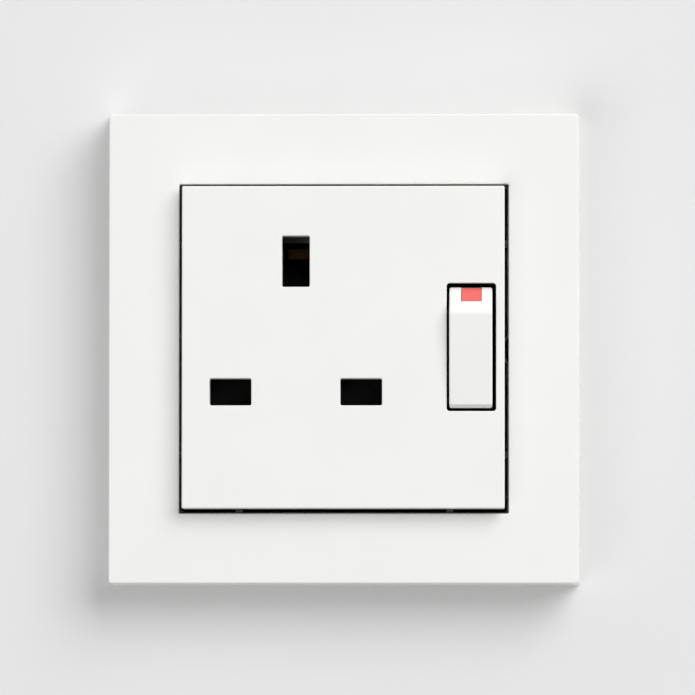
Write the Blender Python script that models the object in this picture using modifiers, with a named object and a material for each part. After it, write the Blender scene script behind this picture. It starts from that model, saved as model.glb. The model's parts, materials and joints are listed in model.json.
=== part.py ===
"""Switched single socket: a square cover frame with a 55 mm three-pin insert and a rocker switch.

The wall is the plane y = 0. The front faces -Y, +X is to the right and +Z is up. The origin is the
centre of the frame on the wall. Everything behind the wall plane sits in the wall box.
"""

import math

import bmesh
import bpy
from mathutils import Matrix, Vector

MM = 0.001
ROUND_SIDES = 24  # flats round a turned shape or a bore
FINE_SIDES = 16  # flats round a small one

# Clearances
SEAT_GAP = 0.3 * MM  # between faces that rest on each other
PLATE_GAP = 0.55 * MM  # between the cover plate and the opening of the frame
CARRIER_GAP = 0.35 * MM  # between the carrier and the tongues of the frame

# Cover frame
FRAME_SIDE = 80.7 * MM
FRAME_DEPTH = 9.5 * MM
FRAME_FACE_WALL = 2.0 * MM
FRAME_SIDE_WALL = 1.8 * MM
FRAME_EDGE_ROUND = 0.5 * MM
FRAME_DRAFT = 0.45 * MM
FRAME_OPENING_ROUND = 0.5 * MM
COLLAR_WALL = 1.4 * MM
TONGUE_REACH = 2.4 * MM
TONGUE_THICKNESS = 1.0 * MM
TONGUE_WIDTH = 6.0 * MM
FRAME_RIB_THICKNESS = 1.0 * MM
FRAME_RIB_OFFSET = 18.0 * MM

# Cover plate, the square front of the insert
PLATE_SIDE = 55.0 * MM
PLATE_PROUD = 3.0 * MM
PLATE_WALL = 2.0 * MM
PLATE_EDGE_ROUND = 0.5 * MM
SKIRT_WALL = 1.4 * MM
SHROUD_WALL = 1.0 * MM
SHROUD_DEPTH = 2.0 * MM
NOSE_WIDTH = 8.0 * MM
NOSE_OFFSET = 12.0 * MM
NOSE_HEIGHT = 1.4 * MM
NOSE_FLAT = 0.4 * MM
NOSE_REACH = 1.5 * MM
NOSE_ROOM = 2.9 * MM  # from the back of the plate's front wall to the nose

# Pin slots, by the standard pin spacing
PIN_SPACING = 22.23 * MM
PIN_GROUP_X = -8.05 * MM
EARTH_Z = 14.6 * MM
EARTH_SLOT = (4.7 * MM, 8.7 * MM)
LINE_SLOT = (7.1 * MM, 4.6 * MM)
SLOT_ROUND = 0.3 * MM
PIN_THICKNESS = 4.0 * MM
EARTH_PIN_WIDTH = 8.0 * MM

# Rocker and its opening
ROCKER_X = 21.8 * MM
ROCKER_OPENING = (8.4 * MM, 21.8 * MM)
ROCKER_SIDE_GAP = 0.45 * MM
ROCKER_TOP_GAP = 0.7 * MM
ROCKER_BOTTOM_GAP = 0.55 * MM
ROCKER_APEX_Z = 6.0 * MM
ROCKER_APEX_PROUD = 2.0 * MM
ROCKER_TOP_SUNK = 1.2 * MM
ROCKER_BOTTOM_PROUD = 0.5 * MM
ROCKER_FACE_WALL = 1.5 * MM
ROCKER_WALL = 1.1 * MM
ROCKER_EDGE_ROUND = 0.35 * MM
ROCKER_END_DEPTH = 2.0 * MM
ROCKER_RELIEF = 0.8 * MM
ROCKER_RELIEF_HALF = 3.0 * MM
ROCKER_END_ROUND = 0.6 * MM
ROCKER_APEX_ROUND = 1.6 * MM
ROCKER_TRAVEL = 11.0
ROCKER_REACH = 5.5 * MM  # from the plate's face back to the pivot
PIVOT_RADIUS = 1.2 * MM
PIVOT_PIN = 1.2 * MM
PIVOT_CLEARANCE = 0.15 * MM
BEARING_RIM = 1.0 * MM
BOSS_WIDTH = 3.8 * MM
BOSS_HALF_HEIGHT = 1.9 * MM
BEARING_WALL = 1.4 * MM
BEARING_HALF = 2.4 * MM
SNAP_SHARE = 0.8
WELL_DEPTH = 5.7 * MM  # from the plate's face to the floor of the room under the rocker's ends
STEM_SWING = 0.9 * MM
STEM_RADIUS = 1.5 * MM
STEM_LENGTH = 8.0 * MM
STEM_BORE_RADIUS = 1.1 * MM
STEM_BORE_DEPTH = 9.0 * MM

# Red marker in the bevel of the rocker
MARKER_SIZE = (3.3 * MM, 3.0 * MM)
MARKER_THICKNESS = 0.8 * MM
MARKER_GAP = 0.1 * MM
MARKER_SUNK = 0.1 * MM
MARKER_SEAT_DEPTH = 1.05 * MM

# Plunger in the stem
PLUNGER_RADIUS = 0.95 * MM
PLUNGER_REACH = 11.0 * MM
PLUNGER_LENGTH = 6.0 * MM
PLUNGER_SPRING_WIRE = 0.15 * MM
PLUNGER_SPRING_TURNS = 5

# See-saw contact
SEESAW_GAP = 0.5 * MM
SEESAW_WIDTH = 2.6 * MM
SEESAW_THICKNESS = 1.0 * MM
SEESAW_ARM = 8.6 * MM
SEESAW_TRAVEL = 20.0
TIP_RADIUS = 1.2 * MM
TIP_THICKNESS = 0.5 * MM
TIP_REACH = 7.4 * MM
LUG_HEIGHT = 1.0 * MM
LUG_SHARE = 0.9
LUG_SWING = 0.1 * MM
SEESAW_NOSE = 0.5
SEESAW_BEND = 0.6
CRADLE_EAR = 0.7 * MM
CRADLE_FOOT = 5.2 * MM

# Shutter
SHUTTER_THICKNESS = 2.5 * MM
SHUTTER_OVERLAP = 0.6 * MM
SHUTTER_TRAVEL = 5.6 * MM
SHUTTER_STEM = 8.0 * MM
SHUTTER_RAMP = 5.2 * MM
SHUTTER_STEP = 0.2 * MM
SPRING_RADIUS = 0.9 * MM
SPRING_WIRE = 0.2 * MM
SPRING_TURNS = 7
SPRING_PEG_RADIUS = 0.5 * MM
SPRING_PEG = 1.2 * MM
SPRING_END_GAP = 0.3 * MM
SPRING_SEAT_Z = -22.0 * MM

# Shutter carrier
CARRIER_WALL = 1.4 * MM
CARRIER_FLOOR = 1.5 * MM
FLANGE_THICKNESS = 0.7 * MM
PIN_CLEARANCE = 0.3 * MM
GUIDE_WALL = 1.0 * MM
STOP_WIDTH = 6.0 * MM
BOSS_HEIGHT = 2.8 * MM
BOSS_ROOF = 0.75 * MM

# Support yoke
YOKE_MARGIN = 3.05 * MM  # between the yoke and the side wall of the frame
YOKE_THICKNESS = 1.2 * MM
YOKE_CORNER = 4.0 * MM
YOKE_OPENING = 48.0 * MM
YOKE_OPENING_ROUND = 2.0 * MM
FIXING_SPACING = 60.3 * MM
FIXING_SLOT = (4.0 * MM, 7.0 * MM)

# Socket base
BASE_SIDE = 51.2 * MM
BASE_DEPTH = 22.5 * MM
BASE_WALL = 1.2 * MM
BASE_REAR_WALL = 2.2 * MM
BASE_EDGE_ROUND = 1.0 * MM
GUIDE_HEIGHT = 0.7 * MM  # of the collars round the terminal screws
GUIDE_RIM = 1.0 * MM

# Contacts and terminals
STRIP = 0.8 * MM
GRIP_SQUEEZE = 0.6 * MM  # how much a clip is closer than the pin is thick
MOUTH_FLARE = 0.9 * MM
CLIP_WIDTH = 6.0 * MM
EARTH_CLIP_WIDTH = 7.0 * MM
CRADLE_DEPTH = 2.63 * MM  # from the see-saw's pivot to the sheet of the live contact
CLIP_ROOM = 0.5 * MM  # between the carrier's floor and the mouths of the line clips
EARTH_CLIP_ROOM = 1.4 * MM  # between the shutter's ramp and the mouth of the earth clip
GRIP_DEPTH = 2.8 * MM
CLIP_SPREAD = 0.5 * MM
CHAMBER_GAP = 0.8 * MM
EARTH_PLATE_HEIGHT = 3.0 * MM
TAIL_WIDTH = 4.6 * MM
TAIL_LEAD = 0.5 * MM  # from a cage up to the bend of its tail
TAIL_STEP = 2.4 * MM
BLADE_GAP = 2.0 * MM  # from the sheet of the live contact back to the supply blade
FIXED_WIDTH = 3.4 * MM
FOOT_HEIGHT = 2.0 * MM
LINK_HEIGHT = 4.0 * MM
CAGE_WALL = 1.2 * MM
CAGE_INNER = (5.6 * MM, 5.6 * MM)
CAGE_HEIGHT = 7.4 * MM
CAGE_MARGIN = 2.1 * MM  # between a cage and the outer wall of the base
CAGE_SETBACK = 3.2 * MM  # from the seat of a terminal screw's head to the inside of its cage
LIVE_TERMINAL_X = 18.2 * MM
EARTH_TERMINAL_X = 6.5 * MM
PORT_SIZE = (5.6 * MM, 4.8 * MM)
TERMINAL_SCREW_RADIUS = 1.75 * MM
TERMINAL_HEAD_RADIUS = 2.6 * MM
TERMINAL_HEAD_HEIGHT = 1.9 * MM
TERMINAL_TIP = 0.2 * MM
CORE_LOW = (-13.4 * MM, -0.6 * MM)
CORE_SIDE = (-14.0 * MM, 16.0 * MM)
CORE_MIDDLE_LEFT = 9.0 * MM
CORE_MIDDLE_CORNER = (17.6 * MM, 9.8 * MM)

# Screws and rivets
BODY_SCREW_OFFSET = 20.8 * MM
BODY_SCREW_LOW_X = 4.0 * MM
BODY_SCREW_RADIUS = 1.3 * MM
BODY_HEAD_RADIUS = 2.5 * MM
BODY_HEAD_HEIGHT = 1.8 * MM
BODY_SCREW_ROOM = 0.75 * MM  # beyond the screw's tip
BODY_BOSS_RADIUS = 2.8 * MM
BODY_SCREW_SEAT = 8.0 * MM
FIXING_RADIUS = 1.65 * MM
FIXING_HEAD_RADIUS = 2.9 * MM
FIXING_HEAD_HEIGHT = 1.9 * MM
FIXING_LENGTH = 25.0 * MM
DRIVER_SLOT = 0.8 * MM
HEAD_RIM_SHARE = 0.4  # the straight rim's share of a screw head's height
RIVET_RADIUS = 1.0 * MM
RIVET_HEAD_RADIUS = 1.9 * MM
RIVET_HEAD_HEIGHT = 0.7 * MM
STRAP_WIDTH = 5.0 * MM
STRAP_X = -1.5 * MM
STRAP_END = 2.0 * MM  # from a rivet to the strap's end
STRAP_RIVET_EDGE = 3.5 * MM  # from the upper rivet to the yoke's edge
HEAD_ROOM = 0.5 * MM

# Places that follow from the sizes above
FRAME_Y = -FRAME_DEPTH
PLATE_Y = FRAME_Y - PLATE_PROUD
PLATE_BACK = PLATE_Y + PLATE_WALL
FRAME_OPENING = PLATE_SIDE + 2 * PLATE_GAP
YOKE_FRONT = -YOKE_THICKNESS
COLLAR_BACK = YOKE_FRONT - SEAT_GAP
FLANGE_FRONT = COLLAR_BACK - FLANGE_THICKNESS
FLANGE_SIDE = FRAME_OPENING - 2 * SEAT_GAP
TONGUE_BACK = FLANGE_FRONT - SEAT_GAP
TONGUE_FRONT = TONGUE_BACK - TONGUE_THICKNESS
TONGUE_OPENING = FRAME_OPENING - 2 * TONGUE_REACH
YOKE_SIDE = FRAME_SIDE - 2 * FRAME_SIDE_WALL - 2 * YOKE_MARGIN
STRAP_RIVET_Z = YOKE_SIDE / 2 - STRAP_RIVET_EDGE
STRAP_TOP = STRAP_RIVET_Z + STRAP_END
CARRIER_SIDE = TONGUE_OPENING - 2 * CARRIER_GAP
CARRIER_FRONT = PLATE_BACK + SEAT_GAP
SHROUD_BACK = PLATE_BACK + SHROUD_DEPTH
SHUTTER_FRONT = SHROUD_BACK + SEAT_GAP
SHUTTER_BACK = SHUTTER_FRONT + SHUTTER_THICKNESS
FLOOR_FRONT = SHUTTER_BACK + SEAT_GAP
FLOOR_BACK = FLOOR_FRONT + CARRIER_FLOOR
LINE_Z = EARTH_Z - PIN_SPACING
NEUTRAL_X = PIN_GROUP_X - PIN_SPACING / 2
LIVE_X = PIN_GROUP_X + PIN_SPACING / 2
PIVOT_Y = PLATE_Y + ROCKER_REACH
REST_TILT = math.radians(ROCKER_TRAVEL / 2)
ROCKER_PIVOT = Vector((ROCKER_X, PIVOT_Y, 0))
STEM_ALONG = Vector((0, math.cos(REST_TILT), math.sin(REST_TILT)))
PLUNGER_TIP = ROCKER_PIVOT + STEM_ALONG * PLUNGER_REACH
SEESAW_TILT = math.radians(SEESAW_TRAVEL / 2)
SEESAW_FACE = SEESAW_THICKNESS / 2 / math.cos(SEESAW_TILT)
SEESAW_Y = PLUNGER_TIP.y + SEESAW_GAP + SEESAW_FACE - PLUNGER_TIP.z * math.tan(SEESAW_TILT)
SEESAW_ALONG = Vector((0, math.sin(SEESAW_TILT), math.cos(SEESAW_TILT)))
SEESAW_BACK = Vector((0, math.cos(SEESAW_TILT), -math.sin(SEESAW_TILT)))
SEESAW_PIVOT = Vector((ROCKER_X, SEESAW_Y, 0))
FIXED_OFFSET = SEESAW_THICKNESS / 2 + 2 * TIP_THICKNESS + SEAT_GAP + STRIP / 2
ROCKER_WIDTH = ROCKER_OPENING[0] - 2 * ROCKER_SIDE_GAP
ROCKER_TOP = Vector((0, PLATE_Y + ROCKER_TOP_SUNK, ROCKER_OPENING[1] / 2 - ROCKER_TOP_GAP))
ROCKER_APEX = Vector((0, PLATE_Y - ROCKER_APEX_PROUD, ROCKER_APEX_Z))
ROCKER_BOTTOM = Vector((0, PLATE_Y - ROCKER_BOTTOM_PROUD, ROCKER_BOTTOM_GAP - ROCKER_OPENING[1] / 2))
BEARING_FACE = BOSS_WIDTH / 2 + SEAT_GAP
BASE_INNER = BASE_SIDE / 2 - BASE_WALL
REAR_FRONT = BASE_DEPTH - BASE_REAR_WALL
TERMINAL_DROP = BASE_INNER - CAGE_MARGIN - CAGE_HEIGHT / 2
TERMINAL_Z = -TERMINAL_DROP
CAGE_BACK = REAR_FRONT - CAGE_SETBACK
CAGE_FRONT = CAGE_BACK - CAGE_INNER[1]
TAIL_Y = CAGE_FRONT + SEAT_GAP + STRIP / 2
TAIL_BEND_Z = TERMINAL_Z + CAGE_HEIGHT / 2 + TAIL_LEAD + TAIL_STEP
CLIP_BACK = SEESAW_Y + CRADLE_DEPTH
CLIP_MOUTH = FLOOR_BACK + CLIP_ROOM
FIXED_STRIP_Y = CLIP_BACK + BLADE_GAP
EARTH_CLIP_BACK = TAIL_Y
EARTH_CLIP_MOUTH = SHUTTER_FRONT + SHUTTER_STEP + SHUTTER_RAMP + EARTH_CLIP_ROOM
PORT_BACK = CAGE_BACK + SEAT_GAP / 2
GUIDE_RADIUS = TERMINAL_HEAD_RADIUS + SEAT_GAP + GUIDE_RIM
TERMINALS = {
    "neutral": (NEUTRAL_X, TERMINAL_Z),
    "live": (LIVE_TERMINAL_X, TERMINAL_Z),
    "earth": (EARTH_TERMINAL_X, TERMINAL_DROP),
}
BODY_SCREWS = (
    (-BODY_SCREW_OFFSET, BODY_SCREW_OFFSET),
    (BODY_SCREW_OFFSET, BODY_SCREW_OFFSET),
    (BODY_SCREW_LOW_X, -BODY_SCREW_OFFSET),
)
FIXING_HEAD_TOP = YOKE_FRONT - SEAT_GAP - FIXING_HEAD_HEIGHT
NOSE_Y = PLATE_BACK + NOSE_ROOM
WELL_Y = PLATE_Y + WELL_DEPTH
GUIDE_FRONT = SHUTTER_FRONT + SHUTTER_STEP
BOSS_BLIND = FLOOR_FRONT - BOSS_HEIGHT + BOSS_ROOF
BODY_SCREW_LENGTH = BODY_SCREW_SEAT + SEAT_GAP - BOSS_BLIND - BODY_SCREW_ROOM
SPRING_Y = (SHUTTER_FRONT + SHUTTER_BACK) / 2
SWITCH_HALF = SEESAW_WIDTH / 2 + SEAT_GAP + CRADLE_EAR
GRIP_GAP = PIN_THICKNESS - GRIP_SQUEEZE
EARTH_LEAF = GRIP_GAP / 2 + STRIP + MOUTH_FLARE
FOOT_TOP = TAIL_BEND_Z + FOOT_HEIGHT
LINK_LOW = LINE_Z - LINK_HEIGHT / 2
LINK_HIGH = LINE_Z + LINK_HEIGHT / 2
STRAP_FOOT_Z = EARTH_Z - EARTH_CLIP_WIDTH / 2 + EARTH_PLATE_HEIGHT / 2


# How an extruded outline's own axes lie in the world, by the axis that it is extruded along
OUTLINE_TURN = {
    "X": Matrix(((0, 0, 1), (1, 0, 0), (0, 1, 0))).to_4x4(),
    "Y": Matrix(((1, 0, 0), (0, 0, -1), (0, 1, 0))).to_4x4(),
    "Z": Matrix.Identity(4),
}


def clear_scene():
    for found in list(bpy.data.objects):
        bpy.data.objects.remove(found, do_unlink=True)


def new_collection(name):
    collection = bpy.data.collections.new(name)
    bpy.context.scene.collection.children.link(collection)
    return collection


def material(name, colour, roughness, metallic=0.0):
    made = bpy.data.materials.new(name)
    made.use_nodes = True
    surface = made.node_tree.nodes["Principled BSDF"]
    surface.inputs["Base Color"].default_value = (*colour, 1.0)
    surface.inputs["Roughness"].default_value = roughness
    surface.inputs["Metallic"].default_value = metallic
    return made


# Outlines


def rectangle(low, high):
    return [(low[0], low[1]), (high[0], low[1]), (high[0], high[1]), (low[0], high[1])]


def rounded(points, radius, steps=3):
    """An outline with an arc at each corner; a radius can be one number or one for each corner."""
    radii = radius if isinstance(radius, (list, tuple)) else [radius] * len(points)
    outline = []
    for index, corner in enumerate(points):
        here = Vector(corner)
        before = Vector(points[index - 1]) - here
        after = Vector(points[(index + 1) % len(points)]) - here
        if radii[index] <= 0:
            outline.append(tuple(here))
            continue
        half = before.angle(after) / 2
        reach = min(radii[index] / math.tan(half), 0.45 * before.length, 0.45 * after.length)
        start = here + before.normalized() * reach
        end = here + after.normalized() * reach
        inward = (before.normalized() + after.normalized()).normalized()
        centre = here + inward * reach / math.cos(half)
        turn = (start - centre).angle_signed(end - centre)
        for step in range(steps + 1):
            arm = (start - centre).copy()
            arm.rotate(Matrix.Rotation(-turn * step / steps, 2))
            outline.append(tuple(centre + arm))
    return outline


def rounded_rectangle(centre, size, radius, steps=3):
    low = (centre[0] - size[0] / 2, centre[1] - size[1] / 2)
    high = (centre[0] + size[0] / 2, centre[1] + size[1] / 2)
    return rounded(rectangle(low, high), radius, steps)


def strip_outline(path, thickness):
    """The outline of a bent strip, from the line along its middle."""
    points = [Vector(point) for point in path]
    sides = ([], [])
    for index, here in enumerate(points):
        ways = []
        if index > 0:
            ways.append((here - points[index - 1]).normalized())
        if index < len(points) - 1:
            ways.append((points[index + 1] - here).normalized())
        along = sum(ways, Vector((0, 0))).normalized()
        across = Vector((-along.y, along.x)) * thickness / 2 / along.dot(ways[0])
        sides[0].append(tuple(here + across))
        sides[1].append(tuple(here - across))
    return sides[0] + sides[1][::-1]


def dome_profile(radius, height, steps):
    """The edge of a dome from its top down to its rim, as (radius, height)."""
    turns = [math.pi / 2 * (1 - step / steps) for step in range(1, steps + 1)]
    return [(0, height)] + [(radius * math.cos(turn), height * math.sin(turn)) for turn in turns]


# Meshes


def finished(mesh):
    bmesh.ops.recalc_face_normals(mesh, faces=mesh.faces)
    return mesh


def extruded(loops, low, high, axis):
    """A solid from flat loops, the first outside and any others holes, between two heights on an axis."""
    curve = bpy.data.curves.new("outline", "CURVE")
    curve.dimensions = "2D"
    curve.fill_mode = "BOTH"
    curve.extrude = (high - low) / 2 / MM
    for loop in loops:
        spline = curve.splines.new("POLY")
        spline.points.add(len(loop) - 1)
        spline.use_cyclic_u = True
        for point, (u, v) in zip(spline.points, loop):
            point.co = (u / MM, v / MM, 0.0, 1.0)
    guide = bpy.data.objects.new("outline", curve)
    bpy.context.scene.collection.objects.link(guide)
    solid = bpy.data.meshes.new_from_object(guide.evaluated_get(bpy.context.evaluated_depsgraph_get()))
    mesh = bmesh.new()
    mesh.from_mesh(solid)
    bmesh.ops.remove_doubles(mesh, verts=mesh.verts, dist=1e-4)
    height = -(low + high) / 2 if axis == "Y" else (low + high) / 2
    place = OUTLINE_TURN[axis] @ Matrix.Translation((0, 0, height)) @ Matrix.Scale(MM, 4)
    bmesh.ops.transform(mesh, matrix=place, verts=mesh.verts)
    bpy.data.objects.remove(guide)
    bpy.data.curves.remove(curve)
    bpy.data.meshes.remove(solid)
    return finished(mesh)


def box(low, high):
    mesh = bmesh.new()
    bmesh.ops.create_cube(mesh, size=1.0)
    bmesh.ops.scale(mesh, vec=Vector(high) - Vector(low), verts=mesh.verts)
    bmesh.ops.translate(mesh, vec=(Vector(high) + Vector(low)) / 2, verts=mesh.verts)
    return mesh


def block(x, y, z, half_x, depth, half_z):
    """A box centred on x and z that runs back from y."""
    return box((x - half_x, y, z - half_z), (x + half_x, y + depth, z + half_z))


def rod(start, end, radius, sides=ROUND_SIDES):
    """A cylinder between two points."""
    along = Vector(end) - Vector(start)
    mesh = bmesh.new()
    bmesh.ops.create_cone(
        mesh, cap_ends=True, segments=sides, radius1=radius, radius2=radius, depth=along.length
    )
    turn = along.to_track_quat("Z", "Y").to_matrix().to_4x4()
    place = Matrix.Translation((Vector(start) + Vector(end)) / 2) @ turn
    bmesh.ops.transform(mesh, matrix=place, verts=mesh.verts)
    return mesh


def round_edges(mesh, chosen, radius, segments=3):
    """Rounds the edges that a test picks out."""
    edges = [edge for edge in mesh.edges if chosen(edge)]
    bmesh.ops.bevel(mesh, geom=edges, offset=radius, segments=segments, profile=0.5, affect="EDGES")
    return finished(mesh)


def at_height(edge, y):
    return all(abs(vert.co.y - y) < 1e-6 for vert in edge.verts)


def runs_along_y(edge):
    run = edge.verts[0].co - edge.verts[1].co
    return abs(run.y) > 3 * max(abs(run.x), abs(run.z))


# Objects


class Bench:
    """Makes the objects: pieces go in one collection and the tools that shape them in another."""

    def __init__(self):
        self.pieces = new_collection("switched_single_socket")
        self.tools = new_collection("cutters")

    def _link(self, name, mesh, collection):
        data = bpy.data.meshes.new(name)
        mesh.to_mesh(data)
        mesh.free()
        made = bpy.data.objects.new(name, data)
        collection.objects.link(made)
        return made

    def piece(self, name, mesh, finish, origin=(0, 0, 0)):
        """A piece whose own origin is at a point, such as the axis that it turns on."""
        bmesh.ops.translate(mesh, vec=-Vector(origin), verts=mesh.verts)
        made = self._link(name, mesh, self.pieces)
        made.location = origin
        made.data.materials.append(finish)
        made.data.set_sharp_from_angle(angle=math.radians(30))
        return made

    def tool(self, name, mesh):
        made = self._link(name, mesh, self.tools)
        made.hide_render = True
        made.display_type = "WIRE"
        return made

    def join(self, piece, label, mesh):
        self._boolean(piece, label, mesh, "UNION")

    def cut(self, piece, label, mesh):
        self._boolean(piece, label, mesh, "DIFFERENCE")

    def _boolean(self, piece, label, mesh, operation):
        modifier = piece.modifiers.new(label, "BOOLEAN")
        modifier.operation = operation
        modifier.solver = "EXACT"
        modifier.object = self.tool(f"{piece.name}_{label}", mesh)


def turned(bench, name, profile, foot, along, finish, steps=ROUND_SIDES):
    """A turned shape: a profile of (radius, height) run from the top down, stood on a foot point."""
    data = bpy.data.meshes.new(name)
    points = [(radius, 0.0, height) for radius, height in profile]
    data.from_pydata(points, [(k, k + 1) for k in range(len(points) - 1)], [])
    made = bpy.data.objects.new(name, data)
    bench.pieces.objects.link(made)
    made.location = foot
    made.rotation_mode = "QUATERNION"
    made.rotation_quaternion = Vector(along).to_track_quat("Z", "Y")
    screw = made.modifiers.new("turn", "SCREW")
    screw.steps = steps
    screw.render_steps = steps
    screw.use_merge_vertices = True
    screw.merge_threshold = 0.000005
    screw.use_smooth_shade = True
    data.materials.append(finish)
    return made


def coil(bench, name, foot, along, size, finish):
    """A compression spring with a flattened turn at its foot; size is radius, wire, length and turns."""
    radius, wire, length, turns = size
    around = 8
    count = around * turns
    curve = bpy.data.curves.new(name, "CURVE")
    curve.dimensions = "3D"
    curve.bevel_depth = wire
    curve.bevel_resolution = 2
    curve.use_fill_caps = True
    spline = curve.splines.new("POLY")
    spline.points.add(count)
    free = length - 2 * wire
    for step, point in enumerate(spline.points):
        turn = 2 * math.pi * step / around
        share = min(max((step - around / 2) / (count - around), 0.0), 1.0)
        point.co = (radius * math.cos(turn), radius * math.sin(turn), wire + free * share, 1.0)
    made = bpy.data.objects.new(name, curve)
    bench.pieces.objects.link(made)
    made.location = foot
    made.rotation_mode = "QUATERNION"
    made.rotation_quaternion = Vector(along).to_track_quat("Z", "Y")
    curve.materials.append(finish)
    return made


# Cover frame and cover plate


def cover_frame(bench, finish):
    half = FRAME_SIDE / 2
    inner = half - FRAME_SIDE_WALL
    collar = FRAME_OPENING / 2 + COLLAR_WALL
    body = box((-half, FRAME_Y, -half), (half, 0, half))
    for vert in body.verts:
        if vert.co.y < FRAME_Y / 2:
            vert.co.x -= math.copysign(FRAME_DRAFT, vert.co.x)
            vert.co.z -= math.copysign(FRAME_DRAFT, vert.co.z)
    round_edges(body, lambda edge: at_height(edge, FRAME_Y) or runs_along_y(edge), FRAME_EDGE_ROUND)
    frame = bench.piece("cover_frame", body, finish)
    inside = FRAME_Y + FRAME_FACE_WALL
    hollow = extruded(
        [rectangle((-inner, -inner), (inner, inner)), rectangle((-collar, -collar), (collar, collar))],
        inside, COLLAR_BACK + 2 * SEAT_GAP, "Y",
    )
    bench.cut(frame, "hollow", hollow)
    bench.cut(frame, "yoke_room", box((-inner, COLLAR_BACK, -inner), (inner, FRAME_SIDE_WALL, inner)))
    window = rounded_rectangle((0, 0), (FRAME_OPENING, FRAME_OPENING), FRAME_OPENING_ROUND)
    bench.cut(frame, "window", extruded([window], FRAME_Y - PLATE_PROUD, 0, "Y"))
    for number, (side, across) in enumerate([(-1, 0), (1, 0), (0, -1), (0, 1)]):
        x, z = side * FIXING_SPACING / 2, across * FIXING_SPACING / 2
        notch = rod((x, FIXING_HEAD_TOP - SEAT_GAP, z), (x, 0, z), FIXING_HEAD_RADIUS + HEAD_ROOM)
        bench.cut(frame, f"screw_notch_{number}", notch)
    for side in (-1, 1):
        for across in (-1, 1):
            low, high = sorted((side * (collar - SEAT_GAP), side * (inner + SEAT_GAP)))
            rib = across * FRAME_RIB_OFFSET
            wall = FRAME_RIB_THICKNESS / 2
            front = inside - SEAT_GAP
            level = box((low, front, rib - wall), (high, COLLAR_BACK, rib + wall))
            bench.join(frame, f"rib_x_{side}_{across}", level)
            upright = box((rib - wall, front, low), (rib + wall, COLLAR_BACK, high))
            bench.join(frame, f"rib_z_{side}_{across}", upright)
            low, high = sorted((side * TONGUE_OPENING / 2, side * (collar - COLLAR_WALL / 2)))
            wide = TONGUE_WIDTH / 2
            tongue = box((low, TONGUE_FRONT, rib - wide), (high, TONGUE_BACK, rib + wide))
            bench.join(frame, f"tongue_x_{side}_{across}", tongue)
            tongue = box((rib - wide, TONGUE_FRONT, low), (rib + wide, TONGUE_BACK, high))
            bench.join(frame, f"tongue_z_{side}_{across}", tongue)
    return frame


def slots():
    """Each pin slot: its name, centre and size."""
    return (
        ("earth", (PIN_GROUP_X, EARTH_Z), EARTH_SLOT),
        ("neutral", (NEUTRAL_X, LINE_Z), LINE_SLOT),
        ("live", (LIVE_X, LINE_Z), LINE_SLOT),
    )


def cover_plate(bench, finish):
    half = PLATE_SIDE / 2
    skirt = half - SKIRT_WALL
    back = TONGUE_FRONT - SEAT_GAP
    body = box((-half, PLATE_Y, -half), (half, back, half))
    round_edges(body, lambda edge: at_height(edge, PLATE_Y) or runs_along_y(edge), PLATE_EDGE_ROUND)
    plate = bench.piece("cover_plate", body, finish)
    bench.cut(plate, "hollow", box((-skirt, PLATE_BACK, -skirt), (skirt, 0, skirt)))
    for name, centre, size in slots():
        outer = (size[0] + 2 * SHROUD_WALL, size[1] + 2 * SHROUD_WALL)
        shroud = extruded(
            [rounded_rectangle(centre, outer, SHROUD_WALL)], PLATE_BACK - PLATE_WALL / 2, SHROUD_BACK, "Y"
        )
        bench.join(plate, f"shroud_{name}", shroud)
        slot = [rounded_rectangle(centre, size, SLOT_ROUND)]
        bench.cut(plate, f"slot_{name}", extruded(slot, PLATE_Y - PLATE_WALL, SHROUD_BACK + PLATE_WALL, "Y"))
    well = [rounded_rectangle((ROCKER_X, 0), ROCKER_OPENING, PLATE_EDGE_ROUND)]
    bench.cut(plate, "rocker_opening", extruded(well, PLATE_Y - PLATE_WALL, PLATE_BACK + PLATE_WALL / 4, "Y"))
    for side in (-1, 1):
        wall = side * (skirt + SKIRT_WALL / 2)
        tip = side * (skirt - NOSE_REACH)
        root = side * skirt
        profile = [
            (NOSE_Y, wall), (NOSE_Y, tip), (NOSE_Y + NOSE_FLAT, tip),
            (NOSE_Y + NOSE_HEIGHT, root), (NOSE_Y + NOSE_HEIGHT, wall),
        ]
        for across in (-1, 1):
            middle = across * NOSE_OFFSET
            nose = extruded([profile], middle - NOSE_WIDTH / 2, middle + NOSE_WIDTH / 2, "X")
            bench.join(plate, f"snap_nose_{side}_{across}", nose)
    return plate


# Rocker, its marker and its plunger


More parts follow.
